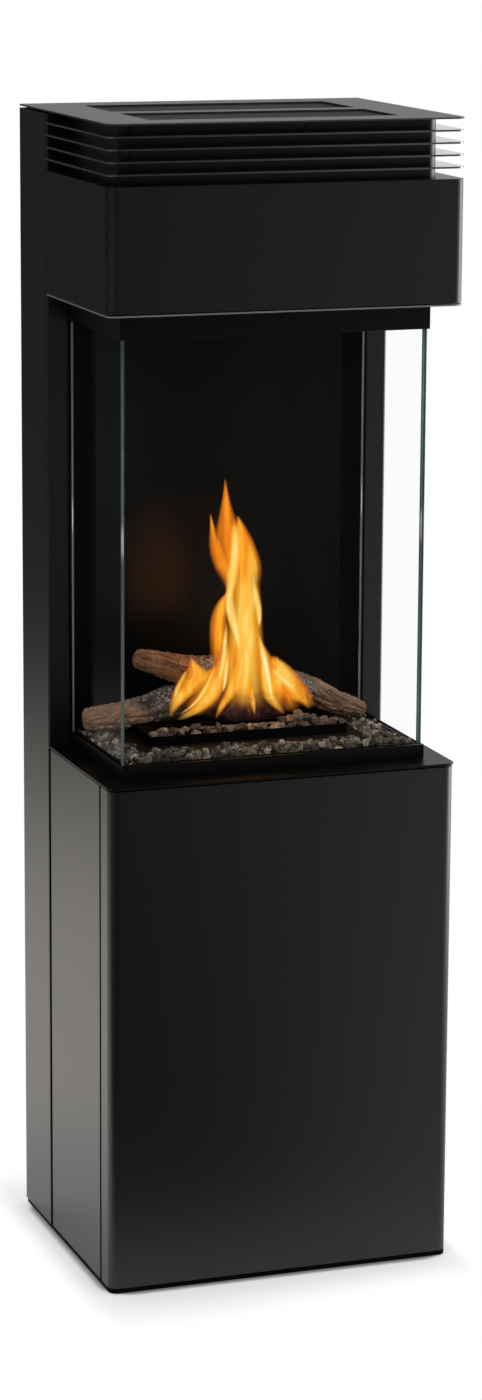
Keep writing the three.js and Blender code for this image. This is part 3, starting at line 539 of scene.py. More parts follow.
def stand_lamp(data, place, aim=None, mirrored=False):
    """Stands a lamp at its place, turned to its aim if it has one. It lights matt surfaces and
    shows in no mirror, or where asked the other way round."""
    lamp = bpy.data.objects.new(data.name, data)
    lamp.location = place
    if aim:
        lamp.rotation_mode = "QUATERNION"
        lamp.rotation_quaternion = (Vector(aim) - Vector(place)).to_track_quat("-Z", "Y")
    lamp.visible_camera = lamp.visible_transmission = False
    lamp.visible_glossy, lamp.visible_diffuse = mirrored, not mirrored
    bpy.context.scene.collection.objects.link(lamp)


def add_lamps():
    """Three soft lamps, one in the flame, and an upright strip to the right that only polished
    bends mirror."""
    for name, place, aim, size, power, colour in LAMPS:
        data = bpy.data.lights.new(name, "AREA")
        data.size = size
        data.energy = power
        data.color = colour
        stand_lamp(data, place, aim)
    glow = bpy.data.lights.new("flame_glow", "POINT")
    glow.energy = FLAME_LAMP_POWER
    glow.color = FLAME_LAMP_COLOUR
    glow.shadow_soft_size = FLAME_LAMP_RADIUS
    stand_lamp(glow, FLAME_LAMP_PLACE)
    strip = bpy.data.lights.new("edge_right", "AREA")
    strip.shape = "RECTANGLE"
    strip.size, strip.size_y = EDGE_LAMP_SIZE
    strip.energy = EDGE_LAMP_POWER
    stand_lamp(strip, EDGE_LAMP_PLACE, (0, 0, EDGE_LAMP_PLACE[Z]), mirrored=True)


# Meshes
WAVE_PEAK = 1.4


def new_object(name, points, faces, smooth=False):
    mesh = bpy.data.meshes.new(name)
    mesh.from_pydata(np.asarray(points).tolist(), [], np.asarray(faces).tolist())
    if smooth:
        mesh.shade_smooth()
    made = bpy.data.objects.new(name, mesh)
    bpy.context.scene.collection.objects.link(made)
    return made


def grid_quads(rows, columns, around=False):
    """Faces of a grid of points, row by row. With around, each row closes on itself."""
    steps = columns if around else columns - 1
    row, column = np.meshgrid(np.arange(rows - 1), np.arange(steps), indexing="ij")
    after = (column + 1) % columns
    corners = (row * columns + column, row * columns + after, (row + 1) * columns + after,
               (row + 1) * columns + column)
    return np.stack(corners, axis=-1).reshape(-1, 4)


def set_attribute(piece, name, values):
    layer = piece.data.attributes.new(name, "FLOAT", "POINT")
    layer.data.foreach_set("value", np.asarray(values, dtype=np.float32))


def smoothed(values, reach):
    """A moving average over 2 * reach + 1 rows, the ends held."""
    padded = np.pad(values, ((reach, reach), (0, 0)), "edge")
    total = np.cumsum(np.vstack([np.zeros((1, values.shape[1])), padded]), axis=0)
    window = 2 * reach + 1
    return (total[window:] - total[:-window]) / window


def waves(seed, count, places, lengths):
    """Smooth random relief, nearly all of it between -1 and 1: a sum of sine waves in random
    directions, whose wavelengths fall between the two lengths, over its usual peak."""
    random = np.random.default_rng(seed)
    total = np.zeros(len(places))
    for _ in range(count):
        way = random.normal(size=places.shape[1])
        way /= np.linalg.norm(way)
        length = random.uniform(*lengths)
        total += np.sin(places @ way * 2 * math.pi / length + random.uniform(0, 2 * math.pi))
    return total / math.sqrt(count) / WAVE_PEAK


# Sheet metal: each CAD sheet keeps its shape and gets fine rounded edges
MERGE_WITHIN = 0.01 * MM
FLAT_ANGLE = math.radians(0.5)
SMOOTH_ANGLE = math.radians(25)
BODY_OF = {
    node: body for body, nodes in frame["record"]["behaviour"]["bodies"].items() for node in nodes
}
LOUVRES = tuple(f"louvre_plate_{number}" for number in range(1, 5))


def round_edges(node, finish, body, radius):
    """A copy of a CAD sheet with its triangles merged into flat faces and its edges rounded."""
    mesh = NODES[node].data.copy()
    piece = bpy.data.objects.new(f"{node}_finish", mesh)
    bpy.context.scene.collection.objects.link(piece)
    work = bmesh.new()
    work.from_mesh(mesh)
    bmesh.ops.remove_doubles(work, verts=work.verts, dist=MERGE_WITHIN)
    bmesh.ops.dissolve_limit(work, angle_limit=FLAT_ANGLE, verts=work.verts, edges=work.edges)
    work.to_mesh(mesh)
    work.free()
    mesh.materials.clear()
    mesh.materials.append(finish)
    mesh.shade_smooth()
    bevel = piece.modifiers.new("edges", "BEVEL")
    bevel.width = radius
    bevel.segments = 2
    bevel.limit_method = "ANGLE"
    bevel.angle_limit = SMOOTH_ANGLE
    even = piece.modifiers.new("flats", "WEIGHTED_NORMAL")
    even.mode = "FACE_AREA"
    even.weight = 100
    even.keep_sharp = True
    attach(piece, body)
    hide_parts(node)
    return piece


def dress(node, finish):
    """A better finish on a CAD node that keeps its own mesh."""
    mesh = NODES[node].data
    mesh.materials.clear()
    mesh.materials.append(finish)


def dress_metal():
    """Every node but glass, logs, stones and mesh. The rounding of the edges is in millimetres."""
    coat = powder_coat("black_powder_coat", (0.0042, 0.0041, 0.0039), 0.3, 0.8, seams=True)
    # A grey copy of the black coat, so the hood's bottom plate shows as a thin light line: painted
    # highlight
    rim_highlight_coat = powder_coat("hood_rim_painted_highlight", (0.11, 0.11, 0.105), 0.35, 1.0)
    satin = powder_coat("black_satin_steel", (0.0025, 0.0025, 0.0025), 0.34, 0.24, grain=0.12)
    louvre = powder_coat("louvre_satin", (0.012, 0.012, 0.012), 0.24, 1.0, grain=0.1, gloss=1.0)
    grey = powder_coat("grey_satin_steel", (0.024, 0.024, 0.027), 0.38, 0.6, grain=0.2)
    wall = lining("black_lining", (0.0028, 0.0028, 0.0027), marked=True)
    # A darker copy of the black lining: painted shade on the back panel in the recess behind the liner,
    # also used for the plinth, the front rail and the cabinet's back panel
    shaded_backing = lining("black_backing_painted_shade", (0.0012, 0.0012, 0.0012), shine=0.05)
    deck = powder_coat("brown_steel", (0.0062, 0.0052, 0.0044), 0.5, 0.25, grain=0.5)
    zinc = bare_metal("zinc_plate", (0.62, 0.63, 0.62), 0.36, (6.0, 6.0, 0.4))
    stainless = bare_metal("stainless_steel", (0.58, 0.57, 0.55), 0.28, (0.4, 8.0, 8.0))
    burnt = bare_metal("heat_dark_steel", (0.05, 0.042, 0.036), 0.5, (0.4, 8.0, 8.0))
    rubber = soft_finish("dark_rubber", (0.018, 0.018, 0.018), 0.75, 700.0, 0.2 * MM)
    wool = soft_finish("white_wool", (0.75, 0.74, 0.70), 0.95, 900.0, 0.6 * MM)
    rounded = (
        (coat, "black_powder_coat", 0.4, ("rear_cover", "left_side_panel", "right_side_panel",
                                          "cabinet_door", "hood_fascia")),
        # Painted highlight: the hood's bottom plate is grey though its coat is black
        (rim_highlight_coat, "black_powder_coat", 0.4, ("hood_bottom_plate",)),
        (satin, "black_satin_steel", 0.4, ("base_top_slab", "lower_glass_frame", "upper_glass_collar")),
        (wall, "black_lining", 0.4, ("burner_frame",)),
        (coat, "black_powder_coat", 0.4, ("hood_inner_box",)),
        (louvre, "black_satin_steel", 0.2, LOUVRES),
        (grey, "grey_satin_steel", 0.35, ("top_plate",)),
        (wall, "black_lining", 0.3, ("firebox_back_liner",)),
        (shaded_backing, "black_lining", 0.3, ("firebox_back_panel", "plinth_base", "cabinet_front_rail")),
        (deck, "brown_steel", 0.3, ("burner_deck",)),
        (burnt, "stainless_steel", 0.3, ("burner_shutter",)),
    )
    for finish, slot, radius, nodes in rounded:
        for node in nodes:
            round_edges(node, finish, BODY_OF[node], radius * MM)
    kept = (
        (shaded_backing, "black_lining", ("cabinet_back_panel",)),
        (zinc, "zinc_plate", ("hinge_arm_lower", "hinge_arm_upper", "hinge_bracket_lower",
                              "hinge_bracket_upper", "push_latch_plunger", "door_strike_plate",
                              "heat_shield", "heat_baffle")),
        (stainless, "stainless_steel", ("hinge_pin_lower", "hinge_pin_upper", "fuel_tank")),
        (wool, "white_wool", ("ceramic_wool",)),
        (rubber, "dark_rubber", ("foot_front_left", "foot_front_right", "foot_rear_left",
                                 "foot_rear_right", "slab_gasket", "push_latch_body")),
    )
    for finish, slot, nodes in kept:
        for node in nodes:
            dress(node, finish)


# Glass: clear faces and dark green ground edges. Each pane has an axis along which it is thin.
PANES = (("left_glass_pane", X), ("right_glass_pane", X), ("front_glass_pane", Y))
PANE_ROUND = 0.5 * MM
FACE_TINT, EDGE_TINT = (0.985, 0.995, 0.99), (0.85, 0.95, 0.92)
FACING = 0.9
CORE_FADE = (1.4 * MM, 0.2 * MM)
CORE_STRETCH = (3.0, 3.0, 9.0)
CORE_BAND, CORE_WEAK = (0.38, 0.62), 0.4
EDGE_GREEN = ((0.03, 0.05, 0.042), (0.16, 0.225, 0.195))
EDGE_GREY = ((0.045, 0.047, 0.046), (0.24, 0.245, 0.24))
GREEN_TO_GREY = (-0.1, 0.03)
# Painted glint on the pane edges: its height, fade and tone
PAINTED_GLINT_HEIGHT, PAINTED_GLINT_FADE = 0.83, (24 * MM, 5 * MM)
PAINTED_GLINT_TONE = (0.78, 0.80, 0.76)
EDGE_IOR, EDGE_ROUGHNESS, EDGE_CLEAR = 1.3, 0.2, 0.2
FACE_IOR, FACE_CLOUDS = 1.05, 2.0


def glass_edge(tree, thin_axis, middle):
    """Dark glass with a paler core half way through the pane, a painted highlight that is stronger and
    weaker along it, and one painted bright glint. It is green in front and greyer behind."""
    place = tree.coords()
    split = tree.split(place)
    streak = tree.noise(place, 1.0, 2.0, stretch=CORE_STRETCH)
    # Painted highlight: the paler core line of the edge
    core = tree.map(tree.off(split["XYZ"[thin_axis]], middle), *CORE_FADE, smooth=True)
    core = tree.times(core, tree.map(streak, *CORE_BAND, CORE_WEAK, 1.0))
    front, rear = tree.mix(core, *EDGE_GREEN), tree.mix(core, *EDGE_GREY)
    tone = tree.mix(tree.map(split["Y"], *GREEN_TO_GREY), front, rear)
    # Painted highlight: one bright glint at a set height
    glint = tree.map(tree.off(split["Z"], PAINTED_GLINT_HEIGHT), *PAINTED_GLINT_FADE, smooth=True)
    tone = tree.mix(tree.times(glint, core), tone, PAINTED_GLINT_TONE)
    return tree.shader(Base_Color=tone, Roughness=EDGE_ROUGHNESS, IOR=EDGE_IOR,
                       Transmission_Weight=EDGE_CLEAR)


def glass_face(tree, tint):
    tone = tree.ramp(tree.noise(tree.coords(), FACE_CLOUDS, 1.0), list(zip(BAND, (tint, WHITE))))
    return tree.shader(Base_Color=tone, Roughness=0.0, IOR=FACE_IOR, Transmission_Weight=1.0)


def glass_material(name, tint, thin_axis=None, middle=0.0):
    """Glass that lets lamp light through unshaded: a clear face or, with a thin axis, the ground
    edges of the pane about that middle."""
    made, tree = material(name)
    rays = tree.rays()
    soft = tree.math("MAXIMUM", rays["Is Shadow Ray"], rays["Is Diffuse Ray"])
    mirrored = tree.math("SUBTRACT", rays["Is Glossy Ray"], rays["Is Transmission Ray"])
    through = tree.math("MAXIMUM", soft, mirrored, clamp=True)
    body = glass_face(tree, tint) if thin_axis is None else glass_edge(tree, thin_axis, middle)
    clear = tree.add("ShaderNodeBsdfTransparent", {"Color": (*tint, 1.0)}).outputs[0]
    tree.finish(tree.blend(through, body, clear))
    return made


def add_glass():
    face = glass_material("clear_glass", FACE_TINT)
    for node, thin_axis in PANES:
        middle = (low(node, thin_axis) + high(node, thin_axis)) / 2
        edge = glass_material(f"{node}_edge", EDGE_TINT, thin_axis, middle)
        piece = round_edges(node, face, BODY_OF[node], PANE_ROUND)
        piece.data.materials.append(edge)
        for polygon in piece.data.polygons:
            polygon.material_index = 0 if abs(polygon.normal[thin_axis]) > FACING else 1
        piece.modifiers["edges"].material = 1


# Logs: stations are (x, y, height over the burner frame, radius) in millimetres
FRAME_TOP = high("burner_frame", Z)
LOG_LEFT = ((-166, 37, 4, 13.5), (-125, 34, 8, 16), (-62, 28, 21, 21.5), (-44, 27, 20, 18))
LOG_BACK = ((-112, 25, 76, 11), (-57, 20, 58.5, 18), (-5, 18, 57, 16), (46, 14, 52, 13.5))
LOG_RIGHT = ((161, 18, -1, 8.5), (118, 10, 13, 15), (84, 5, 30, 16), (60, 0, 43, 14.5))
BARK_ROWS, BARK_COLUMNS = 170, 110
LINE_REACH = BARK_ROWS // 9
END_POWER = 2.6
GROOVE_SQUEEZE = 0.14
LAID_ABOVE = 0.3 * MM
BESIDE_FRAME = 0.5 * MM
CLOSE_WITHIN = 0.02 * MM
CHAR_LUMPS = 0.09

# Cut into the bark: lengths of its waves and depths, both in millimetres
FINE_WAVES, DEEP_WAVES, LUMP_WAVES = (3.5, 9.0), (9.0, 22.0), (34.0, 80.0)
GRIT_WAVES, CHIP_WAVES = (2.2, 5.0), (7.0, 15.0)
FINE_SHARE, FINE_POWER = 0.55, 3
DEEP_SHARE, DEEP_POWER = 0.9, 5
GROOVE_DEPTH, GRIT_DEPTH, CHIP_DEPTH = 2.3, 0.8, 1.4
LUMP_SHARE, LUMP_SUNK = 0.09, 0.4

# Bark: tones from dark to pale with that of the grooves after them, and scales of noise per metre
BROWN_TONES = ((0.14, 0.078, 0.045), (0.24, 0.14, 0.085), (0.36, 0.23, 0.145), (0.035, 0.018, 0.010))
ASHY_TONES = ((0.10, 0.045, 0.024), (0.18, 0.09, 0.046), (0.27, 0.155, 0.09), (0.035, 0.016, 0.009))
BURNT_TONES = ((0.03, 0.023, 0.02), (0.12, 0.088, 0.068))
CRACK_TONE, ASH_TONE, FLECK_TONE = (0.010, 0.009, 0.009), (0.34, 0.325, 0.33), (0.36, 0.34, 0.33)
PATCH_SCALE, GRIT_SCALE, CRACK_SCALE = 55.0, 900.0, 170.0
FLECK_SCALE, FLECK_AREA_SCALE, ASH_AREA_SCALE = 150.0, 38.0, 45.0
CRACK_WIDTH, CRACK_DEPTH = 0.09, -1.5
BORDER_UNEVEN = 1.2
FLECK_BAND, FLECK_AREA, ASH_AREA = (0.55, 0.68), (0.42, 0.6), (0.42, 0.55)
PATCH_BAND, GROOVE_BAND, BORDER_BAND = (0.25, 0.75), (0.25, 1.0), (0.3, 0.75)
GROOVE_DARK, GRIT_DARK, CRACK_DARK = 0.85, 0.45, 0.5
BARK_RELIEF = 0.5 * MM


def log_line(stations):
    """How far along each row lies, and its (x, y, z, radius): even rows on the straight lines
    between the stations, smoothed, then drawn back to the first and the last station by the cube
    of the share of the way to it."""
    knots = np.array(stations, float)
    steps = np.r_[0, np.cumsum(np.linalg.norm(np.diff(knots[:, :3], axis=0), axis=1))]
    along = np.linspace(0, steps[-1], BARK_ROWS)
    line = np.stack([np.interp(along, steps, knots[:, k]) for k in range(4)], axis=1)
    line = smoothed(line, LINE_REACH)
    line[:, :3] += (knots[0, :3] - line[0, :3]) * np.linspace(1, 0, BARK_ROWS)[:, None] ** 3
    line[:, :3] += (knots[-1, :3] - line[-1, :3]) * np.linspace(0, 1, BARK_ROWS)[:, None] ** 3
    return along, line


def end_shrink(away, reach):
    """A quarter of a superellipse: 0 at the log's end, 1 from the reach away on."""
    share = np.clip(away / reach, 0, 1)
    return (1 - (1 - share) ** END_POWER) ** (1 / END_POWER)


def bark_relief(seed, circle, along, radius):
    """How deep the bark is cut, in millimetres, with its grooves and its broad lumps. Grooves are
    powers of the crests of waves drawn out lengthwise, chips the upper half of round waves, and
    grit and lumps are round waves, the lumps in proportion to the radius."""
    drawn_out = np.concatenate([circle, along[..., None] * GROOVE_SQUEEZE], axis=2).reshape(-1, 3)
    solid = np.concatenate([circle, along[..., None]], axis=2).reshape(-1, 3)
    fine = 1 - np.abs(waves(seed, 14, drawn_out, FINE_WAVES)).reshape(along.shape)
    deep = 1 - np.abs(waves(seed + 1, 10, drawn_out, DEEP_WAVES)).reshape(along.shape)
    lumps = waves(seed + 2, 8, solid, LUMP_WAVES).reshape(along.shape)
    grit = waves(seed + 3, 16, solid, GRIT_WAVES).reshape(along.shape)
    chips = np.clip(waves(seed + 4, 10, solid, CHIP_WAVES).reshape(along.shape), 0, 1)
    groove = (FINE_SHARE * np.clip(fine, 0, 1) ** FINE_POWER
              + DEEP_SHARE * np.clip(deep, 0, 1) ** DEEP_POWER)
    cut = (GROOVE_DEPTH * groove + GRIT_DEPTH * grit + CHIP_DEPTH * chips
           + radius[:, None] * LUMP_SHARE * (lumps + LUMP_SUNK))
    return cut, groove, lumps


def log_grid(stations, ends, seed):
    """Round bark surface. Row v is a circle about the log's line, whose radius shrinks at both
    ends, each over its share of the radius there. Column u is the angle, and the bark is cut into
    the circle. Gives also the grooves, the share of the way along and the lumps."""
    along, line = log_line(stations)
    ahead = np.gradient(line[:, :3], axis=0)
    ahead /= np.linalg.norm(ahead, axis=1)[:, None]
    side = np.cross(ahead, (0.0, 0.0, 1.0))
    side /= np.linalg.norm(side, axis=1)[:, None]
    rise = np.cross(side, ahead)
    radius = line[:, 3]
    shrink = (end_shrink(along, ends[0] * radius[0])
              * end_shrink(along[-1] - along, ends[1] * radius[-1]))
    angle = np.linspace(0, 2 * math.pi, BARK_COLUMNS, endpoint=False)
    turn = np.stack([np.cos(angle), np.sin(angle)], axis=1)
    v = np.repeat(along[:, None], BARK_COLUMNS, axis=1)
    cut, groove, lumps = bark_relief(seed, turn[None] * radius[:, None, None], v, radius)
    reach = (radius[:, None] - cut) * shrink[:, None]
    points = line[:, None, :3] + reach[..., None] * (
        turn[None, :, :1] * side[:, None] + turn[None, :, 1:] * rise[:, None]
    )
    return points, groove, v / along[-1], lumps


def close_holes(piece):
    """Merges the coincident points of poles and seams and turns the faces outwards."""
    work = bmesh.new()
    work.from_mesh(piece.data)
    bmesh.ops.remove_doubles(work, verts=work.verts, dist=CLOSE_WITHIN)
    bmesh.ops.recalc_face_normals(work, faces=work.faces)
    work.to_mesh(piece.data)
    work.free()


def add_log(name, node, stations, ends, seed, char_from, char_to, finish):
    """A log of bark, pressed flat where it would enter the burner's frame or deck. It is burnt
    from char_from on and wholly from char_to on, both shares of its length, unevenly by its
    lumps."""
    points, groove, share, lumps = log_grid(stations, ends, seed)
    points = points * MM
    points[..., Z] += FRAME_TOP
    points = points.reshape(-1, 3)
    frame_low, frame_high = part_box("burner_frame")
    x, y = points[:, X], points[:, Y]
    over = (
        (x > frame_low[X] - BESIDE_FRAME) & (x < frame_high[X] + BESIDE_FRAME)
        & (y > frame_low[Y]) & (y < frame_high[Y])
    )
    points[over, Z] = np.maximum(points[over, Z], FRAME_TOP + LAID_ABOVE)
    points[:, Z] = np.maximum(points[:, Z], high("burner_deck", Z) + LAID_ABOVE)
    piece = new_object(name, points, grid_quads(BARK_ROWS, BARK_COLUMNS, around=True), smooth=True)
    edge = share + CHAR_LUMPS * lumps
    char = np.clip((edge - char_from) / (char_to - char_from), 0, 1)
    set_attribute(piece, "char", char.ravel())
    set_attribute(piece, "groove", groove.ravel())
    close_holes(piece)
    piece.data.materials.append(finish)
    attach(piece, "root")
    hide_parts(node)


def burnt_bark(tree, place, patch, crack):
    """Char between dark cracks, some of them filled with ash, and pale flecks in some areas."""
    fleck = tree.map(tree.noise(place, FLECK_SCALE, 6.0, rough=0.7), *FLECK_BAND)
    fleck = tree.times(fleck, tree.map(tree.noise(place, FLECK_AREA_SCALE, 2.0), *FLECK_AREA))
    ash = tree.map(tree.noise(place, ASH_AREA_SCALE, 3.0), *ASH_AREA)
    tone = tree.mix(tree.map(patch, *BAND), *BURNT_TONES)
    tone = tree.mix(tree.times(crack, CRACK_DARK), tone, CRACK_TONE)
    tone = tree.mix(tree.times(crack, ash), tone, ASH_TONE)
    return tree.mix(fleck, tone, FLECK_TONE)


def log_material(name, tones):
    """Cast ceramic log: painted bark with darker grooves, burnt to char and white ash at one end."""
    made, tree = material(name)
    place = tree.coords()
    groove, char = tree.attribute("groove"), tree.attribute("char")
    patch = tree.noise(place, PATCH_SCALE, 4.0, rough=0.6)
    grit = tree.noise(place, GRIT_SCALE, 3.0, rough=0.65)
    bark = tree.ramp(tree.map(patch, *PATCH_BAND), list(zip((0.0, 0.5, 1.0), tones[:3])))
    bark = tree.mix(tree.map(groove, *GROOVE_BAND, 0.0, GROOVE_DARK), bark, tones[3])
    bark = tree.mix(tree.map(grit, *BAND, 0.0, GRIT_DARK), bark, tones[0])
    cells = tree.add("ShaderNodeTexVoronoi", {"Vector": place, "Scale": CRACK_SCALE},
                     feature="DISTANCE_TO_EDGE")
    crack = tree.map(cells.outputs["Distance"], 0.0, CRACK_WIDTH, 1.0, 0.0)
    border = tree.plus(char, tree.times(tree.math("SUBTRACT", patch, 0.5), BORDER_UNEVEN))
    tone = tree.mix(tree.map(border, *BORDER_BAND), bark, burnt_bark(tree, place, patch, crack))
    height = tree.plus(grit, tree.times(crack, tree.times(char, CRACK_DEPTH)))
    normal = tree.bump(height, 0.8, BARK_RELIEF)
    tree.finish(tree.shader(Base_Color=tone, Roughness=0.88, Specular_IOR_Level=0.2, Normal=normal))
    return made


def add_logs():
    brown = log_material("brown_log", BROWN_TONES)
    ashy = log_material("ash_log", ASHY_TONES)
    add_log("log_left_bark", "log_left", LOG_LEFT, (0.95, 0.8), 11, 0.42, 0.62, brown)
    add_log("log_back_bark", "log_back", LOG_BACK, (1.1, 0.8), 23, 0.46, 0.62, ashy)
    add_log("log_right_bark", "log_right", LOG_RIGHT, (1.2, 0.8), 37, 0.50, 0.8, brown)


# Stones. The heap's stones are (x, y, height over the burner frame, size) in millimetres.
HEAP = ((40, -37, 6, 12), (50, -36, 8, 14), (60, -37, 10, 16), (69, -36, 8, 14), (55, -36, 4, 12),
        (78, -37, 5, 13), (64, -38, 3, 12), (88, -36, 3, 12))
HEAP_TONES = (0.4, 0.9)
COARSE, MIDDLING = (7 * MM, 13 * MM), (8 * MM, 20 * MM)
BALL_SIDES = (0.65, 1.25)
CUTS, CUT_PLACES = 8, (0.3, 0.7)
ROW_PITCH, STAGGER, SCATTER = 0.87, 0.25, 0.32
BED_PITCH, LAYER_PITCH = 0.93, 0.55
SUNK = 0.4
SPILT_TOPS = (0.5, 0.8)
GREY_TONES = ((0.011, 0.008, 0.006), (0.04, 0.032, 0.024), (0.115, 0.097, 0.075), (0.46, 0.40, 0.32))
EMBER_TONES = ((0.013, 0.008, 0.006), (0.045, 0.029, 0.021), (0.12, 0.082, 0.060), (0.36, 0.27, 0.21))
GRAIN_TONE = (0.4, 0.36, 0.31)
MOTTLE_SCALE, GRAIN_SCALE = 260.0, 1100.0
OWN_SHARE = 0.6
GRAIN_BAND, GRAIN_SHARE = (0.6, 0.75), 0.3
STONE_RELIEF = 0.35 * MM


def unit_ball():
    """An even ball of 42 points and 80 triangles."""
    work = bmesh.new()
    bmesh.ops.create_icosphere(work, subdivisions=2, radius=1.0)
    mesh = bpy.data.meshes.new("unit_ball")
    work.to_mesh(mesh)
    work.free()
    points, corners = np.empty(len(mesh.vertices) * 3), np.empty(len(mesh.loops), dtype=np.int32)
    mesh.vertices.foreach_get("co", points)
    mesh.loops.foreach_get("vertex_index", corners)
    bpy.data.meshes.remove(mesh)
    return points.reshape(-1, 3), corners.reshape(-1, 3)


def stone_points(random, ball):
    """One broken stone of size 1: the ball pressed to a random box and cut by random planes, each
    point beyond a plane moved back on it, then turned any way."""
    points = ball * random.uniform(*BALL_SIDES, size=3)
    for _ in range(CUTS):
        way = random.normal(size=3)
        way /= np.linalg.norm(way)
        beyond = np.maximum(points @ way - random.uniform(*CUT_PLACES), 0)
        points = points - beyond[:, None] * way
    axis = random.normal(size=3)
    turn = np.array(Matrix.Rotation(random.uniform(0, 2 * math.pi), 3, Vector(axis).normalized()))
    points = points @ turn.T
    return points / (points.max(axis=0) - points.min(axis=0)).max()


def strew(random, box, pitch):
    """Places on a staggered grid of that pitch over the box, each moved by up to a third of it."""
    low_corner, high_corner = box
    rows = max(1, int(round((high_corner[Y] - low_corner[Y]) / (pitch * ROW_PITCH))))
    columns = max(1, int(round((high_corner[X] - low_corner[X]) / pitch)))
    row, column = np.meshgrid(np.arange(rows), np.arange(columns), indexing="ij")
    share_x = (column + 0.5 + STAGGER * (-1.0) ** row) / columns
    share_y = (row + 0.5) / rows
    x = low_corner[X] + share_x * (high_corner[X] - low_corner[X])
    y = low_corner[Y] + share_y * (high_corner[Y] - low_corner[Y])
    places = np.stack([x.ravel(), y.ravel()], axis=1)
    return places + random.uniform(-SCATTER, SCATTER, size=places.shape) * pitch


def add_stones(name, node, seed, sizes, layers, finish, proud, spill=0.0, heap=()):
    """A bed of loose stones in the CAD bed's box, in layers from its top down. The top layer
    stands proud of the box and may spill over the burner's deck, fewer further out, where it lies
    on the plate. A heap's stones lie on top of them."""
    random = np.random.default_rng(seed)
    ball, triangles = unit_ball()
    low_corner, high_corner = (np.array(corner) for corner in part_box(node))
    edge, plate = high_corner[Y], high("burner_deck", Z) + LAID_ABOVE
    high_corner += (0.0, spill, proud)
    points, faces, tones = [], [], []
    mean = sum(sizes) / 2
    for layer in range(layers):
        for x, y in strew(random, (low_corner, high_corner), mean * BED_PITCH):
            size = random.uniform(*sizes)
            stone = stone_points(random, ball) * size
            top = high_corner[Z] - random.uniform(0, SUNK) * size - layer * LAYER_PITCH * mean
            floor = low_corner.copy()
            if spill and y + 0.5 * size > edge:
                top, floor[Z] = plate + random.uniform(*SPILT_TOPS) * size, plate
                if layer or random.uniform(0, 1) < (y - edge) / spill:
                    continue
            stone += (x, y, top - stone[:, Z].max())
            faces.append(triangles + len(points) * len(ball))
            points.append(np.clip(stone, floor, high_corner))
            tones.append(np.full(len(ball), random.uniform(0, 1)))
    for x, y, above, size in heap:
        faces.append(triangles + len(points) * len(ball))
        points.append((stone_points(random, ball) * size + (x, y, FRAME_TOP / MM + above)) * MM)
        tones.append(np.full(len(ball), random.uniform(*HEAP_TONES)))
    piece = new_object(name, np.concatenate(points), np.concatenate(faces))
    set_attribute(piece, "tone", np.concatenate(tones))
    piece.data.materials.append(finish)
    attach(piece, "root")
    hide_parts(node)


def stone_material(name, tones):
    """Broken stone: a tone for each stone, mottled, with pale grains."""
    made, tree = material(name)
    place = tree.coords()
    mottle = tree.noise(place, MOTTLE_SCALE, 4.0, rough=0.65)
    value = tree.plus(tree.times(tree.attribute("tone"), OWN_SHARE),
                      tree.map(mottle, *BAND, 0.0, 1 - OWN_SHARE))
    tone = tree.ramp(value, list(zip(np.linspace(0, 1, len(tones)), tones)))
    grains = tree.noise(place, GRAIN_SCALE, 3.0, rough=0.7)
    tone = tree.mix(tree.map(grains, *GRAIN_BAND, 0.0, GRAIN_SHARE), tone, GRAIN_TONE)
    normal = tree.bump(grains, 0.6, STONE_RELIEF)
    tree.finish(tree.shader(Base_Color=tone, Roughness=0.8, Specular_IOR_Level=0.3, Normal=normal))
    return made


def add_gravel():
    grey = stone_material("grey_brown_stone", GREY_TONES)
    ember = stone_material("ember_stone", EMBER_TONES)
    add_stones("stones_front", "gravel_front", 101, COARSE, 3, grey, 9 * MM, spill=12 * MM)
    add_stones("stones_left", "gravel_left", 102, COARSE, 2, grey, 5 * MM)
    add_stones("stones_right", "gravel_right", 103, COARSE, 2, grey, 6 * MM)
    add_stones("stones_gutter", "gravel_gutter", 104, MIDDLING, 1, ember, 7 * MM, heap=HEAP)


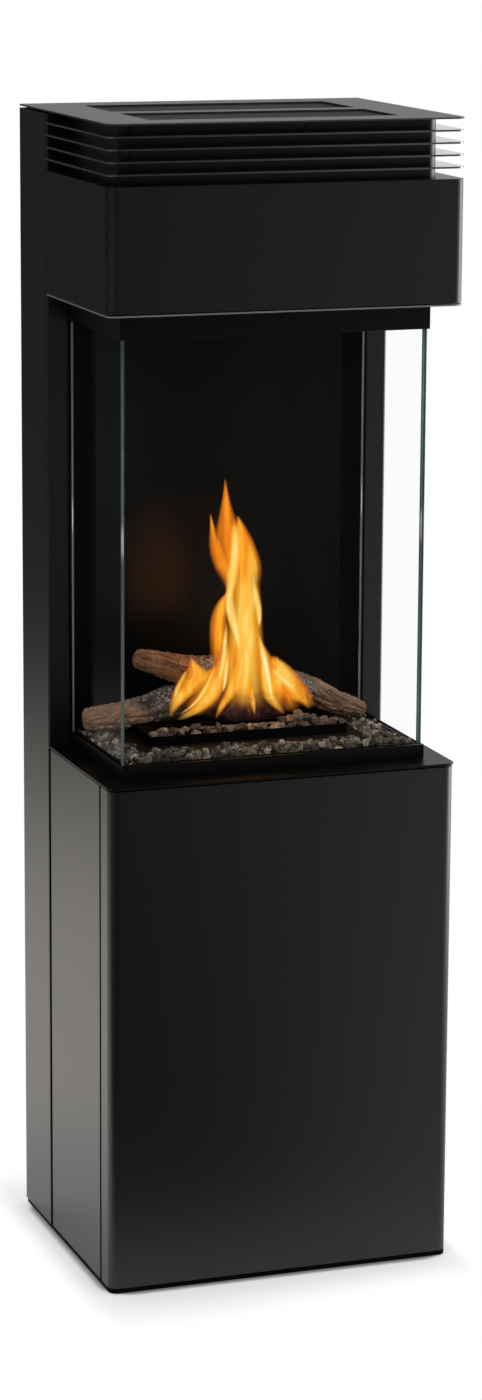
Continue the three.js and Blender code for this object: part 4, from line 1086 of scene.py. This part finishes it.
# Flame: for each tongue its warmth, its body from 0 to 1, how far it stands off the flame's plane,
# and its path from root to tip as (x, z, half width), all in millimetres. Warmth runs from 0 to 1,
# and below 0 it marks smoke.
FLAME_PLANE = -6.0
TONGUES = {
    "fill_left": (0.32, 0.66, -3, ((-50, 606, 8), (-42, 618, 20), (-35, 632, 23), (-29, 646, 21),
        (-23, 658, 15), (-18, 672, 9), (-14, 692, 2))),
    "fill_right": (0.40, 0.85, -3, ((64, 604, 8), (58, 615, 22), (52, 628, 25), (46, 641, 23),
        (40, 653, 18), (34, 665, 12), (28, 680, 7), (24, 696, 2))),
    "trunk": (0.66, 0.97, 0, ((12, 612, 22), (11, 622, 28), (10, 634, 27), (9, 663, 27),
        (7, 680, 25.9), (8, 701, 24.8), (9, 717, 22.7), (9, 734, 21.6), (8, 751, 19.4),
        (8, 767, 17.3), (7, 784, 17.3), (3, 801, 14), (-1, 818, 8.6), (-3, 833, 1))),
    "crown": (0.28, 0.92, 0, ((-4, 740, 12), (-6, 760, 20), (-7, 777, 25), (-8, 792, 25), (-10, 805, 23),
        (-12, 815, 18.5), (-13, 826, 13.5), (-14, 837, 10), (-15, 847, 6.5), (-15, 858, 3.8),
        (-16, 868, 1.8), (-16, 878, 0.6))),
    "neck": (0.62, 0.95, 4, ((-8, 717, 3.7), (-9, 733, 5.2), (-9, 752, 6.5), (-8, 768, 8.3),
        (-7, 784, 10.2), (-6, 800, 10.5), (-4, 813, 8), (-4, 826, 1.9))),
    "right_shoulder": (0.42, 0.85, 0, ((20, 748, 8), (19, 760, 11), (17, 774, 12.5), (13, 789, 12),
        (9, 802, 11), (5, 814, 8.5), (1, 825, 4.5), (-2, 834, 1))),
    "left_lobe": (0.20, 0.80, 0, ((-9, 741, 3), (-12, 753, 8), (-14, 764, 11), (-18, 775, 12.5),
        (-22, 786, 12.5), (-25, 797, 11.5), (-28, 808, 8), (-30, 818, 4.5), (-32, 829, 2),
        (-33, 839, 0.8))),
    "left_bulge": (0.27, 0.92, 0, ((-23, 655, 9), (-23, 669, 11), (-23, 683, 12), (-23, 699, 12.5),
        (-23, 714, 12.5), (-21, 726, 11), (-18, 736, 8), (-14, 744, 3), (-12, 750, 1))),
    "lower_body": (0.60, 0.75, 0, ((12, 610, 26), (10, 618, 30), (8, 628, 28), (6, 638, 27),
        (5, 651, 26.4), (6, 668, 26.4), (8, 684, 25.3), (9, 701, 19.8), (9, 718, 11), (9, 729, 1))),
    "right_lobe": (0.52, 0.92, 8, ((86, 606, 4), (83, 612, 8), (79, 619, 14), (72, 628, 18),
        (66, 637, 18.5), (59, 646, 17.5), (54, 654, 16), (49, 660, 14), (44, 666, 10), (41, 673, 3))),
    "left_sweep": (0.62, 0.92, 5, ((-72, 604, 2), (-63, 608, 9), (-50, 614, 14), (-37, 624, 13.5),
        (-29, 635, 13.5), (-23, 645, 12), (-19, 656, 10), (-16, 667, 8), (-13, 680, 4), (-12, 692, 1))),
    "left_tongue": (0.52, 0.90, 3, ((-80, 608, 2), (-77, 615, 4), (-74, 622, 8), (-67, 631, 13),
        (-59, 640, 18), (-51, 649, 20), (-47, 657, 18), (-50, 664, 11), (-53, 670, 4), (-55, 678, 1))),
    "veil": (0.24, 0.40, 0, ((-69, 631, 6.4), (-58, 642, 14.8), (-45, 651, 19.3), (-31, 657, 17.7),
        (-18, 664, 9.6), (-9, 671, 1.9))),
    "mid_left": (0.48, 0.88, 6, ((-27, 602, 1), (-22, 612, 4), (-17, 620, 6.5), (-10, 630, 8.5),
        (-5, 642, 8.5), (-2, 656, 7), (0, 671, 2))),
    "centre_right": (0.52, 0.88, 6, ((56, 602, 1.5), (51, 608, 6), (45, 615, 9), (39, 623, 10.5),
        (35, 634, 10.5), (33, 650, 9), (31, 668, 6), (30, 686, 1.3))),
    "right_spike": (0.62, 0.80, 12, ((51, 626, 1.5), (49, 637, 5), (48, 648, 5), (47, 659, 3.4),
        (46, 672, 0.8))),
    "spike": (0.52, 0.85, 9, ((21, 603, 0.8), (19, 612, 3.2), (18, 621, 4), (16, 633, 3.4),
        (15, 645, 0.8))),
    "streak_top": (0.94, 0.85, 19, ((-6, 832, 0.6), (-5, 819, 4), (-3, 805, 6.5), (-3, 790, 7.6),
        (-4, 774, 7.2), (-7, 758, 6), (-10, 742, 4.6), (-13, 728, 2), (-14, 718, 0.6))),
    "streak_left": (0.96, 0.9, 19, ((-12, 764, 1), (-11, 747, 5.6), (-10, 732, 7.6), (-7, 716, 7.8),
        (-2, 701, 6.4), (1, 688, 3.6), (3, 675, 0.8))),
    "streak_middle": (0.88, 0.7, 15, ((11, 738, 1), (11, 727, 6), (10, 716, 9), (9, 706, 9.5),
        (10, 697, 7), (11, 687, 1))),
    "streak_right": (0.92, 0.85, 19, ((17, 764, 1), (19, 751, 4), (21, 738, 5.6), (24, 725, 5.4),
        (25, 713, 3.4), (25, 703, 0.8))),
    "streak_low_right": (0.98, 0.95, 19, ((23, 702, 0.8), (26, 690, 3), (29, 676, 4.4), (33, 661, 4.8),
        (36, 647, 4.4), (39, 631, 3.4), (41, 618, 0.8))),
    "streak_root": (0.88, 0.75, 15, ((10, 696, 0.8), (10, 681, 3.4), (10, 665, 4.4), (10, 650, 4),
        (9, 634, 1))),
    "streak_edge": (0.92, 0.85, 19, ((-13, 717, 0.6), (-14, 705, 2.6), (-15, 694, 3.6), (-16, 680, 4),
        (-17, 667, 3.8), (-21, 652, 3), (-27, 638, 1))),
    "streak_low_left": (0.88, 0.80, 19, ((-9, 682, 1), (-12, 669, 2.9), (-14, 656, 3.9),
        (-15, 644, 2.9), (-18, 632, 1))),
    "streak_low": (0.92, 0.80, 19, ((7, 686, 0.6), (5, 670, 2.9), (3, 656, 3.9), (0, 643, 3.2),
        (-3, 629, 1))),
    "streak_lobe": (0.80, 0.70, 16, ((75, 625, 1.9), (66, 632, 5.8), (56, 641, 8), (48, 649, 7.1),
        (41, 658, 2.6))),
    "streak_sweep": (0.92, 0.85, 19, ((-71, 611, 0.6), (-62, 615, 2.3), (-51, 622, 3.5),
        (-43, 631, 3.9), (-36, 642, 3.9), (-30, 655, 2.9), (-25, 668, 1))),
    "haze_left": (0.10, 0.34, -3, ((-58, 609, 6.4), (-48, 620, 19.3), (-36, 632, 24.1),
        (-25, 645, 20.9), (-14, 658, 9.6))),
    "haze_right": (0.25, 0.40, -3, ((85, 612, 6.4), (71, 620, 17.7), (56, 631, 20.9), (45, 646, 17.7),
        (37, 660, 6.4))),
    "haze_root": (-0.55, 0.42, -2, ((6, 598, 20), (6, 605, 52), (7, 613, 66), (9, 621, 64), (11, 631, 48),
        (11, 642, 20))),
    "streak_tongue": (0.80, 0.6, 12, ((-78, 622, 0.6), (-74, 632, 3), (-70, 643, 4.2), (-64, 654, 3.6),
        (-59, 664, 0.6))),
}
FLAME_SEED = 7
FIRST_TURN = -0.34
# Each ribbon of a tongue: its turn about the upright, its share of the width, its share of the offset
BODY_TURNS = ((FIRST_TURN, 1.0, 1.0), (FIRST_TURN + 2 * math.pi / 3, 0.55, 0.0),
              (FIRST_TURN + 4 * math.pi / 3, 0.55, 0.0))
STREAK_TURNS = ((FIRST_TURN, 1.0, 1.0), (FIRST_TURN + math.pi, 1.0, 1.0))
SIGHT_RISE = 0.22
BELLY, SWAYS = 0.25, 6
RIBBON_ROWS, RIBBON_COLUMNS = 40, 9
RIBBON_REACH = 3
FLAME_TONES = (
    (0.0, (0.085, 0.034, 0.03)), (0.12, (0.36, 0.09, 0.02)), (0.3, (0.94, 0.24, 0.010)),
    (0.5, (1.0, 0.42, 0.025)), (0.72, (1.0, 0.62, 0.12)), (0.88, (1.0, 0.79, 0.27)),
    (1.0, (1.0, 0.90, 0.46)),
)
FLAME_STRENGTH = 1.05
WARMTH_SHARE = 0.62
MIDDLE_WARMTH, STREAK_WARMTH = (-0.12, 0.26), (-0.22, 0.28)
TIP_COOLING, ROOT_COOLING, COOL_ROOT = 0.08, 0.22, 0.35
STREAK_BAND = (0.25, 0.75)
RIM_RAGGED, RIM_REACH = 0.25, 0.95
ROOT_END, TIP_START = 0.4, 0.8
HOT = (0.7, 0.85)
PATCH_STREAKS, PATCH_BODY = (0.2, 0.65), (0.65, 1.05)
SMOKE_BAND, SMOKE_BODY = (0.4, 0.62), (-0.7, 0.2)
STREAK_SCALE, STREAK_STRETCH = 80.0, (1.0, 1.0, 0.16)
SMOKE_SCALE, SMOKE_STRETCH = 140.0, (1.0, 1.0, 1.6)


def tongue_ribbon(path, turn, width_share, offset, wave):
    """Row v lies on the smooth line through the path's points and is as wide as its tongue there.
    Column u runs from edge to edge, in a direction turned about the upright. The ribbon bellies
    outwards by a parabola across and by a slow wave along, and stands off its line by the offset,
    a little higher in front and lower behind."""
    knots = np.array(path, float)
    share = np.linspace(0, 1, len(knots))
    v = np.linspace(0, 1, RIBBON_ROWS)
    line = np.stack([np.interp(v, share, knots[:, k]) for k in range(3)], axis=1)
    line = smoothed(line, RIBBON_REACH)
    middle, height, half_width = line[:, :1], line[:, 1:2], line[:, 2:]
    u = np.linspace(-1, 1, RIBBON_COLUMNS)
    wide = width_share * half_width * u[None, :]
    belly = BELLY * half_width * (1 - u[None, :] ** 2) + np.sin(SWAYS * v[:, None] + wave) + offset
    x = middle + wide * math.cos(turn) + belly * math.sin(turn)
    y = FLAME_PLANE + wide * math.sin(turn) - belly * math.cos(turn)
    rise = SIGHT_RISE * offset * math.cos(turn - FIRST_TURN)
    z = np.repeat(height + rise, RIBBON_COLUMNS, axis=1)
    grid = np.stack([x, y, z], axis=2).reshape(-1, 3) * MM
    return grid, np.tile(u, RIBBON_ROWS), np.repeat(v, RIBBON_COLUMNS)


def add_flame():
    """Ribbons for every tongue, marked with their u, v, warmth and body."""
    random = np.random.default_rng(FLAME_SEED)
    quads = grid_quads(RIBBON_ROWS, RIBBON_COLUMNS)
    points, faces = [], []
    marks = {"across": [], "along": [], "warmth": [], "body": []}
    for name, (warmth, body, offset, path) in TONGUES.items():
        for turn, width_share, ahead in STREAK_TURNS if name.startswith("streak") else BODY_TURNS:
            grid, u, v = tongue_ribbon(path, turn, width_share, offset * ahead, random.uniform(0, 6))
            faces.append(quads + len(points) * len(grid))
            points.append(grid)
            for mark, values in zip(marks.values(), (u, v, warmth, body)):
                mark.append(np.broadcast_to(values, len(grid)))
    piece = new_object("flame", np.concatenate(points), np.concatenate(faces), smooth=True)
    for mark, values in marks.items():
        set_attribute(piece, mark, np.concatenate(values))
    piece.data.materials.append(flame_material())
    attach(piece, "root")
    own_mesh(piece)


def flame_warmth(tree, warmth, along, middle, streak):
    """Warmer in the middle of a ribbon and in its streaks, cooler at its root and a little at its
    tip."""
    warm = tree.plus(
        tree.times(warmth, WARMTH_SHARE),
        tree.map(middle, 0.0, 1.0, *MIDDLE_WARMTH),
        tree.map(streak, *STREAK_BAND, *STREAK_WARMTH),
    )
    warm = tree.math("SUBTRACT", warm, tree.times(along, TIP_COOLING))
    return tree.math("SUBTRACT", warm, tree.map(along, 0.0, COOL_ROOT, ROOT_COOLING, 0.0))


def flame_body(tree, warmth, body, along, middle, streak):
    """How solid the gas is: fading at the ragged edges, root and tip, more so in hot streaks, and
    patchy where it is smoke."""
    ragged = tree.math("SUBTRACT", middle, tree.map(streak, *BAND, 0.0, RIM_RAGGED))
    rim = tree.map(ragged, 0.0, RIM_REACH, smooth=True)
    root = tree.map(along, 0.0, ROOT_END, smooth=True)
    tip = tree.map(along, 1.0, TIP_START, smooth=True)
    soft = tree.times(tree.map(warmth, *HOT), tree.rest_of(middle))
    patches = tree.map(streak, *PATCH_STREAKS, *PATCH_BODY)
    smoke = tree.noise(tree.coords(), SMOKE_SCALE, 3.0, stretch=SMOKE_STRETCH)
    smoke = tree.map(smoke, *SMOKE_BAND, *SMOKE_BODY)
    smoke = tree.times(smoke, tree.math("LESS_THAN", warmth, 0.0))
    solid = tree.times(rim, root, tip, tree.rest_of(soft), patches, tree.plus(smoke, 1.0))
    return tree.math("MULTIPLY", solid, body, clamp=True)


def flame_material():
    """Glowing gas: orange at the rim, yellow-white in the hot streaks, clear at edges and root."""
    made, tree = material("flame_glow")
    across, along, warmth, body = (tree.attribute(mark) for mark in ("across", "along", "warmth", "body"))
    streak = tree.noise(tree.coords(), STREAK_SCALE, 1.5, stretch=STREAK_STRETCH)
    middle = tree.rest_of(tree.math("POWER", tree.math("ABSOLUTE", across), 2.0))
    tone = tree.ramp(flame_warmth(tree, warmth, along, middle, streak), FLAME_TONES)
    alpha = flame_body(tree, warmth, body, along, middle, streak)
    tree.finish(tree.shader(Base_Color=(0.0, 0.0, 0.0, 1.0), Roughness=1.0, Specular_IOR_Level=0.0,
                            Emission_Color=tone, Emission_Strength=FLAME_STRENGTH, Alpha=alpha))
    return made


# Expanded metal under the top slots
STRAND_PITCH = 4.6 * MM
WIDE_STRANDS, NARROW_STRANDS = (0.8, 2.3 * MM), (-0.8, 1.1 * MM)
SHORTEST = 2
BAR_FACES = np.array([(0, 1, 3, 2), (4, 6, 7, 5), (0, 4, 5, 1), (2, 3, 7, 6), (1, 5, 7, 3), (0, 2, 6, 4)])
BAR_CORNERS = 8


def strand_points(low_corner, high_corner, slope, width):
    """Corners of bars side by side at the strands' pitch. Each is a line x = start + slope * y over
    the depth, cut off a width inside the insert's sides, and left out if it then spans less
    than two widths across. A bar's corners run over its two ends, its two sides, and its bottom
    and top."""
    depth = high_corner[Y] - low_corner[Y]
    reach = abs(slope) * depth
    start = np.arange(low_corner[X] - reach, high_corner[X] + reach, STRAND_PITCH)[:, None]
    ends = start + np.array([0.0, slope * depth])
    cut = np.clip(ends, low_corner[X] + width, high_corner[X] - width)
    long = np.abs(cut[:, 1] - cut[:, 0]) >= SHORTEST * width
    start, cut = start[long], cut[long]
    points = np.empty((len(cut), 2, 2, 2, 3))
    points[..., X] = (cut[:, :, None] + np.array([-1, 1]) * width / 2)[..., None]
    points[..., Y] = (low_corner[Y] + (cut - start) / slope)[:, :, None, None]
    points[..., Z] = (low_corner[Z], high_corner[Z])
    return points.reshape(-1, 3)


def add_mesh_insert(name, node, finish):
    """Flat strands across the whole insert. The upper half leans right and is wide, the lower half
    leans left and is narrow."""
    low_corner, high_corner = (np.array(corner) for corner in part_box(node))
    middle = (low_corner[Z] + high_corner[Z]) / 2
    points = np.concatenate([
        strand_points((*low_corner[:Z], middle), high_corner, *WIDE_STRANDS),
        strand_points(low_corner, (*high_corner[:Z], middle), *NARROW_STRANDS),
    ])
    first = np.arange(0, len(points), BAR_CORNERS)
    piece = new_object(name, points, (first[:, None, None] + BAR_FACES).reshape(-1, 4))
    close_holes(piece)
    piece.data.materials.append(finish)
    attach(piece, "root")
    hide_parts(node)


def add_top_meshes():
    strand = powder_coat("mesh_black", (0.008, 0.008, 0.0095), 0.5, 0.3)
    add_mesh_insert("mesh_front_strands", "top_mesh_front", strand)
    add_mesh_insert("mesh_rear_strands", "top_mesh_rear", strand)


bpy.context.scene.view_settings.view_transform = "Standard"
add_camera()
add_world()
add_floor()
add_lamps()
dress_metal()
add_glass()
add_logs()
add_gravel()
add_flame()
add_top_meshes()
